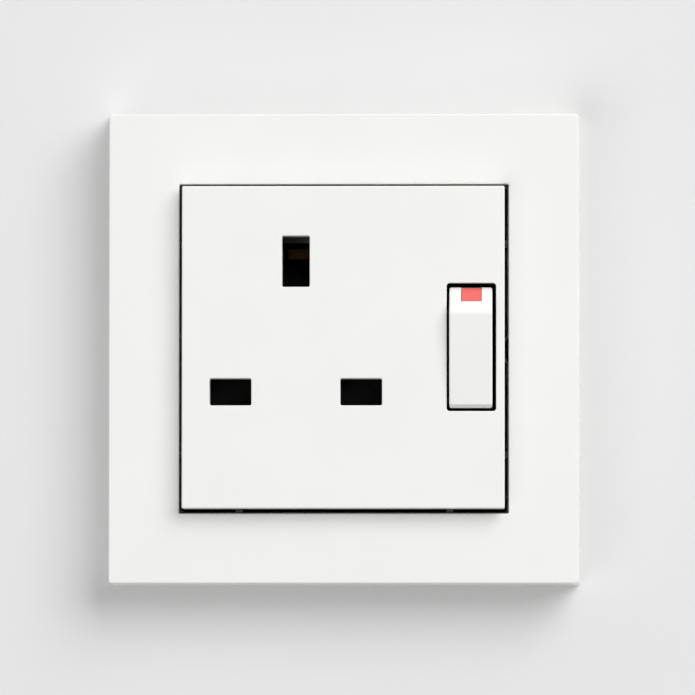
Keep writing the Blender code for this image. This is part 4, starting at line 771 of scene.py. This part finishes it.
def arc(centre, radius, start, end, steps):
    """Points (half side, depth) along an arc, by angles in degrees."""
    turns = [math.radians(start + (end - start) * step / steps) for step in range(steps + 1)]
    return [(centre[0] + radius * math.cos(turn), centre[1] + radius * math.sin(turn)) for turn in turns]


def frame_sections(sizes, opening, inner, ceiling):
    """The frame's section, from the wall round its front edge and opening to the room behind its face."""
    edge = sizes.frame_edge
    corner = sizes.frame_corner
    front_half = FRAME_HALF - sizes.frame_draft
    centre = (0, 0)
    front = (0, -sizes.frame_drop)
    slip = tuple(sizes.slip)
    back_edge = 0.1 * MM
    least_corner = 0.1 * MM
    sections = [(FRAME_HALF - back_edge, 0.0, corner, centre), (FRAME_HALF, -back_edge, corner, centre)]
    for half, depth in arc((front_half - edge, FRAME_FACE + edge), edge, 0, -90, 6):
        sections.append((half, depth, max(corner - (front_half - half) * 0.8, least_corner), front))
    rim = 0.3 * MM
    tight = 0.25 * MM
    for half, depth in arc((opening + rim, FRAME_FACE + rim), rim, -90, -180, 5):
        sections.append((half, depth, tight + half - opening, slip))
    collar = opening + COLLAR_WALL
    return sections + [
        (opening, COLLAR_BACK, tight, slip),
        (collar, COLLAR_BACK, tight + COLLAR_WALL, slip),
        (collar, ceiling, tight + COLLAR_WALL, slip),
        (inner, ceiling, corner / 2, centre),
        (inner, 0.0, corner / 2, centre),
    ]


def make_cover_frame():
    sizes = bpy.context.scene.socket_mouldings
    inner = FRAME_HALF - FRAME_SIDE_WALL
    opening = PLATE_HALF + sizes.play
    collar = opening + COLLAR_WALL
    ceiling = FRAME_FACE + FRAME_FACE_WALL
    piece = piece_of("frame_moulding", ring_loft(frame_sections(sizes, opening, inner, ceiling), 8))
    tongue_back = COLLAR_BACK - FLANGE - GAP
    tongue_front = tongue_back - TONGUE_THICKNESS
    # Bars across each side: (start, end, half width, front, back). They are the rib behind the face, and
    # a tongue with a wide head under the plate, on a neck that hardly shows in the gap round it
    bars = [
        (collar - GAP, inner + GAP, RIB_HALF, ceiling - GAP, COLLAR_BACK),
        (opening - 2.4 * MM, opening - MM, 3 * MM, tongue_front, tongue_back),
        (opening - 1.2 * MM, collar - 0.7 * MM, 0.6 * MM, tongue_front, tongue_back),
    ]
    steps = []
    for side in (-1, 1):
        for middle in (-RIB_OFFSET, RIB_OFFSET):
            for start, end, half, front, back in bars:
                low, high = sorted((side * start, side * end))
                first, last = middle - half, middle + half
                steps.append(("UNION", box((low, front, first), (high, back, last))))
                steps.append(("UNION", box((first, front, low), (last, back, high))))
    head_room = YOKE_FRONT - 2.5 * MM
    for x, z in ((-1, 0), (1, 0), (0, -1), (0, 1)):
        place = (x * FIXING_REACH, head_room, z * FIXING_REACH)
        steps.append(("DIFFERENCE", rod(place, (place[0], 0, place[2]), FIXING_ROOM)))
    shaped(piece, steps)
    hand_over(smoothed(piece), "cover_frame")


def make_cover_plate():
    sizes = bpy.context.scene.socket_mouldings
    half = PLATE_HALF - sizes.plate_shrink
    skirt = PLATE_HALF - SKIRT_WALL
    front = PLATE_FACE

    def on_outside(edge):
        ends = edge.verts
        return all(abs(end.co.y - front) < TOUCH for end in ends) or abs(ends[0].co.y - ends[1].co.y) > MM

    body = box((-half, front, -half), (half, PLATE_HIGH.y, half))
    piece = piece_of("insert_plate", bevelled(body, on_outside, sizes.plate_edge, 6))
    steps = [("DIFFERENCE", box((-skirt, PLATE_BACK, -skirt), (skirt, 0, skirt)))]
    for x, z, width, height in PIN_SLOTS:
        outer = rounded_rectangle(x, z, width + 2 * SHROUD_WALL, height + 2 * SHROUD_WALL, SHROUD_WALL)
        steps.append(("UNION", prism(outer, PLATE_BACK - MM, SHROUD_BACK)))
    for slot in PIN_SLOTS:
        hole = rounded_rectangle(*slot, SLOT_ROUND, 5)
        steps.append(("DIFFERENCE", prism(hole, front - MM, SHROUD_BACK + MM)))
    opening = rounded_rectangle(ROCKER_X, 0, *ROCKER_OPENING, 0.5 * MM)
    steps.append(("DIFFERENCE", prism(opening, front - MM, PLATE_BACK + 0.5 * MM)))
    nose_back = NOSE_FRONT + NOSE_HEIGHT
    for side in (-1, 1):
        wall = side * (skirt + SKIRT_WALL / 2)
        tip = side * (skirt - NOSE_REACH)
        profile = [
            (NOSE_FRONT, wall), (NOSE_FRONT, tip), (NOSE_FRONT + NOSE_FLAT, tip),
            (nose_back, side * skirt), (nose_back, wall),
        ]
        for middle in (-NOSE_OFFSET, NOSE_OFFSET):
            steps.append(("UNION", prism(profile, middle - NOSE_HALF, middle + NOSE_HALF, "X")))
    shaped(piece, steps)
    mesh = mesh_of(piece.data)
    inside = half - sizes.plate_edge - 0.1 * MM

    def on_rim(edge):
        places = [vert.co for vert in edge.verts]
        flat = all(abs(at.y - front) < TOUCH and max(abs(at.x), abs(at.z)) < inside for at in places)
        return flat and len(edge.link_faces) == 2 and edge.calc_face_angle(0) > math.radians(60)

    bevelled(mesh, on_rim, sizes.slot_edge, 4)
    mesh.to_mesh(piece.data)
    mesh.free()
    hand_over(smoothed(piece), "cover_plate")


def marker_block(half_width, length, depth, start, proud):
    """A block that lies in the rocker's bevel, from its top end down."""
    along = (ROCKER_APEX - ROCKER_TOP).normalized()
    outward = Vector((0, -along.z, along.y))
    if outward.y > 0:
        outward = -outward
    mesh = box((-half_width, start, -depth), (half_width, length, proud))
    turn = Matrix(((1, 0, 0), (0, along.y, outward.y), (0, along.z, outward.z))).to_4x4()
    place = Matrix.Translation((ROCKER_X, ROCKER_TOP.y, ROCKER_TOP.z)) @ turn
    bmesh.ops.transform(mesh, matrix=place, verts=mesh.verts)
    return faced_outward(mesh)


def make_rocker():
    sizes = bpy.context.scene.socket_mouldings
    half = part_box("rocker")[1].x - ROCKER_X
    left = ROCKER_X - half
    right = ROCKER_X + half - sizes.rocker_play
    top, apex, bottom = ROCKER_TOP, ROCKER_APEX, ROCKER_BOTTOM
    # The face ends in a foot that slopes back to the lower end
    foot = 0.55 * MM
    foot_rise = 0.09 * foot
    foot_depth = 1.1 * MM
    corners = [
        (bottom.y + foot_depth, bottom.z), (bottom.y - foot_rise, bottom.z + foot),
        (apex.y, apex.z), (top.y, top.z), (ROCKER_SKIRT, top.z),
        (ROCKER_RELIEF, RELIEF_HALF), (ROCKER_RELIEF, -RELIEF_HALF), (ROCKER_SKIRT, bottom.z),
    ]
    profile = rounded(corners, [0.2 * MM, 0.2 * MM, 1.8 * MM, 0.4 * MM, 0, 0, 0, 0])
    cap = prism(profile, left, right, "X")

    def long_edge(edge):
        at_side = any(all(abs(vert.co.x - side) < TOUCH for vert in edge.verts) for side in (left, right))
        return at_side and min(vert.co.y for vert in edge.verts) < ROCKER_RELIEF - 0.5 * MM

    piece = piece_of("rocker_cap", bevelled(cap, long_edge, sizes.rocker_edge, 5))
    inner = half - ROCKER_WALL
    behind = ROCKER_SKIRT + 1.1 * MM
    web_front = apex.y + ROCKER_FACE_WALL
    room = [
        (bottom.y + ROCKER_FACE_WALL, bottom.z + ROCKER_WALL), (web_front, apex.z - 0.55 * MM),
        (top.y + ROCKER_FACE_WALL / 2, top.z - WINDOW_LENGTH), (behind, top.z - WINDOW_LENGTH),
        (behind, bottom.z + ROCKER_WALL),
    ]
    boss_low = ROCKER_X - BOSS_HALF
    boss_high = ROCKER_X + BOSS_HALF
    depth = PIVOT.y
    pin_ends = [(x, depth, 0) for x in (boss_low - PIVOT_PIN, boss_high + PIVOT_PIN)]
    bore_end = PIVOT + STEM_ALONG * (STEM_LENGTH + 1.5 * MM)
    seat = marker_block(
        WINDOW_WIDTH / 2 + WINDOW_GAP, WINDOW_LENGTH + WINDOW_GAP, depth=1.05 * MM, start=-1.1 * MM, proud=MM
    )
    steps = [
        ("DIFFERENCE", prism(room, ROCKER_X - inner, ROCKER_X + inner, "X")),
        ("UNION", box((boss_low, web_front, -BOSS_HALF), (boss_high, depth, BOSS_HALF))),
        ("UNION", rod((boss_low, depth, 0), (boss_high, depth, 0), BOSS_HALF)),
        ("UNION", rod(*pin_ends, PIVOT_RADIUS)),
        ("UNION", rod(PIVOT, PIVOT + STEM_ALONG * STEM_LENGTH, STEM_RADIUS)),
        ("DIFFERENCE", rod(PIVOT - STEM_ALONG * MM, bore_end, STEM_BORE)),
        ("DIFFERENCE", seat),
    ]
    shaped(piece, steps)
    hand_over(smoothed(piece), "rocker")


def make_marker():
    sunk = 0.05 * MM
    edge_radius = 0.12 * MM
    mesh = marker_block(WINDOW_WIDTH / 2, WINDOW_LENGTH, depth=0.9 * MM, start=sunk, proud=-sunk)
    bevelled(mesh, lambda edge: True, edge_radius, 4)
    hand_over(smoothed(piece_of("marker_window", mesh)), "rocker_marker")


# Screws, rivets and springs


def screw_head(radius, height):
    """A slotted cheese head with a domed top, standing on the origin."""
    rim = height * 0.4
    turns = [math.pi / 2 * (1 - step / 10) for step in range(1, 11)]
    dome = [(radius * math.cos(turn), rim + (height - rim) * math.sin(turn)) for turn in turns]
    foot = 0.12 * MM
    profile = [(0, height), *dome, (radius, foot), (radius - foot, 0), (0, 0)]
    head = piece_of("head", turned_mesh(profile))
    half_slot = 0.4 * MM
    slot = box((-2 * radius, -half_slot, height / 2), (2 * radius, half_slot, 2 * height))
    shaped(head, [("DIFFERENCE", slot)])
    mesh = mesh_of(head.data)
    discarded(head)

    def lip(edge):
        return len(edge.link_faces) == 2 and edge.calc_face_angle(0) > math.radians(50)

    return bevelled(mesh, lip, 0.05 * MM, 2)


def make_screw(name, node, inward, sizes):
    """A screw in its node's place, whose tip points along +Y (1) or -Y (-1)."""
    radius, head_radius, head_height, pitch = sizes
    low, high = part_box(node)
    middle = (low + high) / 2
    top, tip = (low.y, high.y) if inward > 0 else (high.y, low.y)
    seat = Vector((middle.x, top + inward * head_height, middle.z))
    length = abs(tip - seat.y)
    given = {
        "Radius": radius, "Length": length, "Pitch": pitch, "Depth": min(0.55 * pitch, 0.28 * radius),
        "Point": 0.45 * radius, "Sides": bpy.context.scene.socket_hardware.thread_sides,
        "Rows": max(round(10 * length / pitch), 4),
    }
    head = screw_head(head_radius, head_height)
    grown(name, node, head, "thread", given, seat, -Vector((0, inward, 0)))


def make_screws():
    """All the screws; their sizes are the shank's and the head's radius, the head's height and the pitch."""
    hardware = bpy.context.scene.socket_hardware
    terminal = (1.75 * MM, 2.6 * MM, 1.9 * MM, hardware.terminal_pitch)
    tapping = (1.3 * MM, 2.5 * MM, 1.8 * MM, hardware.tapping_pitch)
    fixing = (1.65 * MM, 2.9 * MM, 1.9 * MM, hardware.fixing_pitch)
    for name in ("neutral", "live", "earth"):
        make_screw(f"terminal_screw_{name}", f"{name}_screw", -1, terminal)
    for number in (1, 2, 3):
        make_screw(f"tapping_screw_{number}", f"body_screw_{number}", -1, tapping)
    for side in ("left", "right"):
        make_screw(f"wall_screw_{side}", f"fixing_screw_{side}", 1, fixing)


def make_rivets():
    for name, node in (("rivet_at_yoke", "strap_rivet_yoke"), ("rivet_at_contact", "strap_rivet_contact")):
        low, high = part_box(node)
        height = 0.7 * MM
        sizes = {
            "Shank Radius": 1.0 * MM, "Head Radius": 1.9 * MM, "Head Height": height,
            "Grip": high.y - low.y - 2 * height, "Sides": 40, "Rows": 90,
        }
        grown(name, node, bmesh.new(), "rivet", sizes, (low + high) / 2, (0, -1, 0))


def make_springs():
    sides = bpy.context.scene.socket_hardware.wire_sides
    low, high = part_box("shutter_spring")
    foot = Vector(((low.x + high.x) / 2, (low.y + high.y) / 2, low.z))
    length = high.z - low.z
    sizes = {"Radius": 0.9 * MM, "Wire": 0.2 * MM, "Length": length, "Turns": 7.0, "Sides": sides}
    piece = grown("return_spring", "shutter_spring", bmesh.new(), "coil", sizes, foot, (0, 0, 1))
    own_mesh(piece)
    back = 4.7 * MM
    length = 5.4 * MM
    foot = PIVOT + STEM_ALONG * back
    sizes = {"Radius": 0.8 * MM, "Wire": 0.15 * MM, "Length": length, "Turns": 5.0, "Sides": sides}
    piece = grown("nose_spring", "plunger_spring", bmesh.new(), "coil", sizes, foot, -STEM_ALONG)
    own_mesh(piece)


# Stage


def make_wall():
    """A flat wall, open behind the frame, that is seen from the front only."""
    tone = bpy.context.scene.socket_stage.wall
    mesh = bmesh.new()
    loops = []
    depth = -0.02 * MM
    opening = FRAME_HALF - 1.2 * MM
    edge = 3.0
    for half in (opening, edge):
        corners = [(x * half, depth, z * half) for x, z in ((-1, -1), (1, -1), (1, 1), (-1, 1))]
        loops.append([mesh.verts.new(corner) for corner in corners])
    for at in range(4):
        ahead = (at + 1) % 4
        face = mesh.faces.new((loops[0][at], loops[1][at], loops[1][ahead], loops[0][ahead]))
        face.normal_update()
        if face.normal.y > 0:
            face.normal_flip()
    wall = piece_of("wall", mesh)
    made, tree, shader, place = new_material("painted_plaster")
    # Clouds 40 mm wide
    cloud = add(tree, NOISE, {"Vector": place, "Scale": 1 / 40, "Detail": 3.0})
    give(tree, shader, {"Base Color": tones(tree, cloud, shade(tone, 0.985), tone), "Roughness": 0.85})
    behind = add(tree, "ShaderNodeNewGeometry").outputs["Backfacing"]
    clear = add(tree, "ShaderNodeBsdfTransparent")
    one_sided = add(tree, "ShaderNodeMixShader", (behind, shader, clear))
    give(tree, tree.nodes["Material Output"], {"Surface": one_sided})
    wall.data.materials.append(made)


def make_world():
    """Soft light from all round, weaker from the floor, with the dark of the room straight in front."""
    scene = bpy.context.scene
    world = bpy.data.worlds.new("studio")
    world.use_nodes = True
    scene.world = world
    tree = world.node_tree
    tree.nodes.clear()
    path = add(tree, "ShaderNodeLightPath").outputs
    seen = add(tree, MATH, (path["Is Camera Ray"], path["Is Transmission Ray"]), "MAXIMUM")
    way = add(tree, "ShaderNodeSeparateXYZ", [add(tree, "ShaderNodeTexCoord").outputs["Generated"]]).outputs
    ring = {"Value": way[1], "From Min": -0.95, "From Max": -0.75, "To Min": 0.005, "To Max": 1.0}
    below = {"Value": way[2], "From Min": -0.5, "From Max": 0.1, "To Min": 0.6, "To Max": 1.0}
    parts = [add(tree, RANGE, part, interpolation_type="SMOOTHSTEP") for part in (ring, below)]
    glow = add(tree, MATH, parts, "MULTIPLY")
    strength = add(tree, MATH, (glow, scene.socket_stage.sky), "MULTIPLY")
    light = add(tree, "ShaderNodeBackground", {"Color": (1, 1, 1, 1), "Strength": strength})
    backdrop = add(tree, "ShaderNodeBackground", {"Color": (0.93, 0.93, 0.93, 1), "Strength": 1.0})
    mixed = add(tree, "ShaderNodeMixShader", (seen, light, backdrop))
    add(tree, "ShaderNodeOutputWorld", {"Surface": mixed})


def make_lamp(name, place, aim, side, power):
    data = bpy.data.lights.new(name, "AREA")
    data.shape = "SQUARE"
    data.size = side
    data.energy = power
    lamp = new_object(name, data)
    lamp.location = place
    lamp.rotation_euler = (Vector(aim) - Vector(place)).to_track_quat("-Z", "Y").to_euler()


def make_camera():
    """The camera, a long way off, a little to the right of the socket and below it."""
    sensor = 36.0
    picture_width = 695
    focal_pixels = 8835.7
    data = bpy.data.cameras.new("camera")
    data.sensor_fit = "HORIZONTAL"
    data.sensor_width = sensor
    data.lens = focal_pixels / picture_width * sensor
    data.clip_start = 0.05
    data.clip_end = 20.0
    camera = new_object("camera", data)
    # Sines and cosines of yaw, pitch and roll, because Matrix.Rotation rounds small angles
    angles = (math.radians(degrees) for degrees in (-1.373, -2.622, 0.036))
    (cos_z, sin_z), (cos_x, sin_x), (cos_y, sin_y) = ((math.cos(turn), math.sin(turn)) for turn in angles)
    turn_z = Matrix(((cos_z, -sin_z, 0), (sin_z, cos_z, 0), (0, 0, 1)))
    turn_x = Matrix(((1, 0, 0), (0, cos_x, -sin_x), (0, sin_x, cos_x)))
    turn_y = Matrix(((cos_y, 0, sin_y), (0, 1, 0), (-sin_y, 0, cos_y)))
    right, ahead, above = turn_y @ turn_x @ turn_z
    axes = Matrix((right, above, -ahead)).transposed().to_4x4()
    camera.matrix_world = Matrix.Translation((36.7 * MM, -1512.5 * MM, -68.8 * MM)) @ axes
    bpy.context.scene.camera = camera


# Operators


class SOCKET_OT_stage(bpy.types.Operator):
    """Makes the wall, the lamps, the sky and the camera"""

    bl_idname = "socket.stage"
    bl_label = "Stage"

    def execute(self, context):
        stage = context.scene.socket_stage
        context.scene.view_settings.view_transform = "Standard"
        make_wall()
        make_world()
        make_lamp("key", (0.9, -1.25, 0.95), (0, 0, 0), 1.4, stage.key)
        make_lamp("fill", (-0.85, -1.3, -0.75), (0, 0, 0), 1.2, stage.fill)
        make_lamp("rear", (-0.7, 1.25, 0.25), (0, 0.01, 0), 0.9, stage.rear)
        make_camera()
        return {"FINISHED"}


class SOCKET_OT_cover_frame(bpy.types.Operator):
    """Moulds the square cover frame"""

    bl_idname = "socket.cover_frame"
    bl_label = "Cover frame"

    def execute(self, context):
        make_cover_frame()
        return {"FINISHED"}


class SOCKET_OT_cover_plate(bpy.types.Operator):
    """Moulds the insert plate with its pin slots"""

    bl_idname = "socket.cover_plate"
    bl_label = "Insert plate"

    def execute(self, context):
        make_cover_plate()
        return {"FINISHED"}


class SOCKET_OT_rocker(bpy.types.Operator):
    """Moulds the rocker, its red window and its plunger"""

    bl_idname = "socket.rocker"
    bl_label = "Rocker"

    def execute(self, context):
        make_rocker()
        make_marker()
        soft_copies([("plunger_nose", "plunger")], 0.0)
        return {"FINISHED"}


class SOCKET_OT_shutter(bpy.types.Operator):
    """Moulds the shutter and the carrier that it slides in"""

    bl_idname = "socket.shutter"
    bl_label = "Shutter and carrier"

    def execute(self, context):
        edge = context.scene.socket_mouldings.inner_edge
        soft_copies([("shutter_slide_bar", "shutter"), ("carrier_moulding", "shutter_carrier")], edge)
        return {"FINISHED"}


class SOCKET_OT_rear(bpy.types.Operator):
    """Moulds the rear body and presses the yoke"""

    bl_idname = "socket.rear"
    bl_label = "Base and yoke"

    def execute(self, context):
        soft_copies([("base_moulding", "socket_base")], context.scene.socket_mouldings.inner_edge)
        soft_copies([("yoke_pressing", "support_yoke")], context.scene.socket_hardware.sheet_edge)
        return {"FINISHED"}


class SOCKET_OT_contacts(bpy.types.Operator):
    """Stamps the contacts, the earth strap and the terminal cages"""

    bl_idname = "socket.contacts"
    bl_label = "Contacts and terminals"

    def execute(self, context):
        pairs = [(f"{name}_clip", f"{name}_contact") for name in ("live", "neutral", "earth")]
        pairs += [("seesaw", "moving_contact"), ("supply_blade", "fixed_contact")]
        pairs += [("earthing_strap", "earth_strap")]
        pairs += [(f"cage_{name}", f"{name}_terminal") for name in ("live", "neutral", "earth")]
        soft_copies(pairs, context.scene.socket_hardware.sheet_edge)
        return {"FINISHED"}


class SOCKET_OT_screws(bpy.types.Operator):
    """Turns and threads the eight screws"""

    bl_idname = "socket.screws"
    bl_label = "Screws"

    def execute(self, context):
        make_screws()
        return {"FINISHED"}


class SOCKET_OT_rivets(bpy.types.Operator):
    """Sets the two rivets of the earth strap"""

    bl_idname = "socket.rivets"
    bl_label = "Rivets"

    def execute(self, context):
        make_rivets()
        return {"FINISHED"}


class SOCKET_OT_springs(bpy.types.Operator):
    """Coils the two springs"""

    bl_idname = "socket.springs"
    bl_label = "Springs"

    def execute(self, context):
        make_springs()
        return {"FINISHED"}


OPERATORS = (
    SOCKET_OT_stage,
    SOCKET_OT_cover_frame,
    SOCKET_OT_cover_plate,
    SOCKET_OT_rocker,
    SOCKET_OT_shutter,
    SOCKET_OT_rear,
    SOCKET_OT_contacts,
    SOCKET_OT_screws,
    SOCKET_OT_rivets,
    SOCKET_OT_springs,
)

SETTINGS = {
    "socket_finish": SocketFinish,
    "socket_mouldings": SocketMouldings,
    "socket_hardware": SocketHardware,
    "socket_stage": SocketStage,
}


class SOCKET_PT_panel(bpy.types.Panel):
    """Lists the steps that build the socket and their settings"""

    bl_idname = "SOCKET_PT_panel"
    bl_label = "Switched Socket"
    bl_space_type = "VIEW_3D"
    bl_region_type = "UI"
    bl_category = "Socket"

    def draw(self, context):
        for operator in OPERATORS:
            self.layout.operator(operator.bl_idname)
        for name in SETTINGS:
            group = getattr(context.scene, name)
            rows = self.layout.column()
            for key in group.bl_rna.properties.keys():
                if key not in ("rna_type", "name"):
                    rows.prop(group, key)


def register():
    for made in (*SETTINGS.values(), *OPERATORS, SOCKET_PT_panel):
        bpy.utils.register_class(made)
    for name, group in SETTINGS.items():
        setattr(bpy.types.Scene, name, PointerProperty(type=group))


def unregister():
    for name in SETTINGS:
        delattr(bpy.types.Scene, name)
    for made in (SOCKET_PT_panel, *reversed(OPERATORS), *SETTINGS.values()):
        bpy.utils.unregister_class(made)


def main():
    register()
    bpy.ops.socket.stage()
    bpy.ops.socket.cover_frame()
    bpy.ops.socket.cover_plate()
    bpy.ops.socket.rocker()
    bpy.ops.socket.shutter()
    bpy.ops.socket.rear()
    bpy.ops.socket.contacts()
    bpy.ops.socket.screws()
    bpy.ops.socket.rivets()
    bpy.ops.socket.springs()


if __name__ == "__main__":
    main()
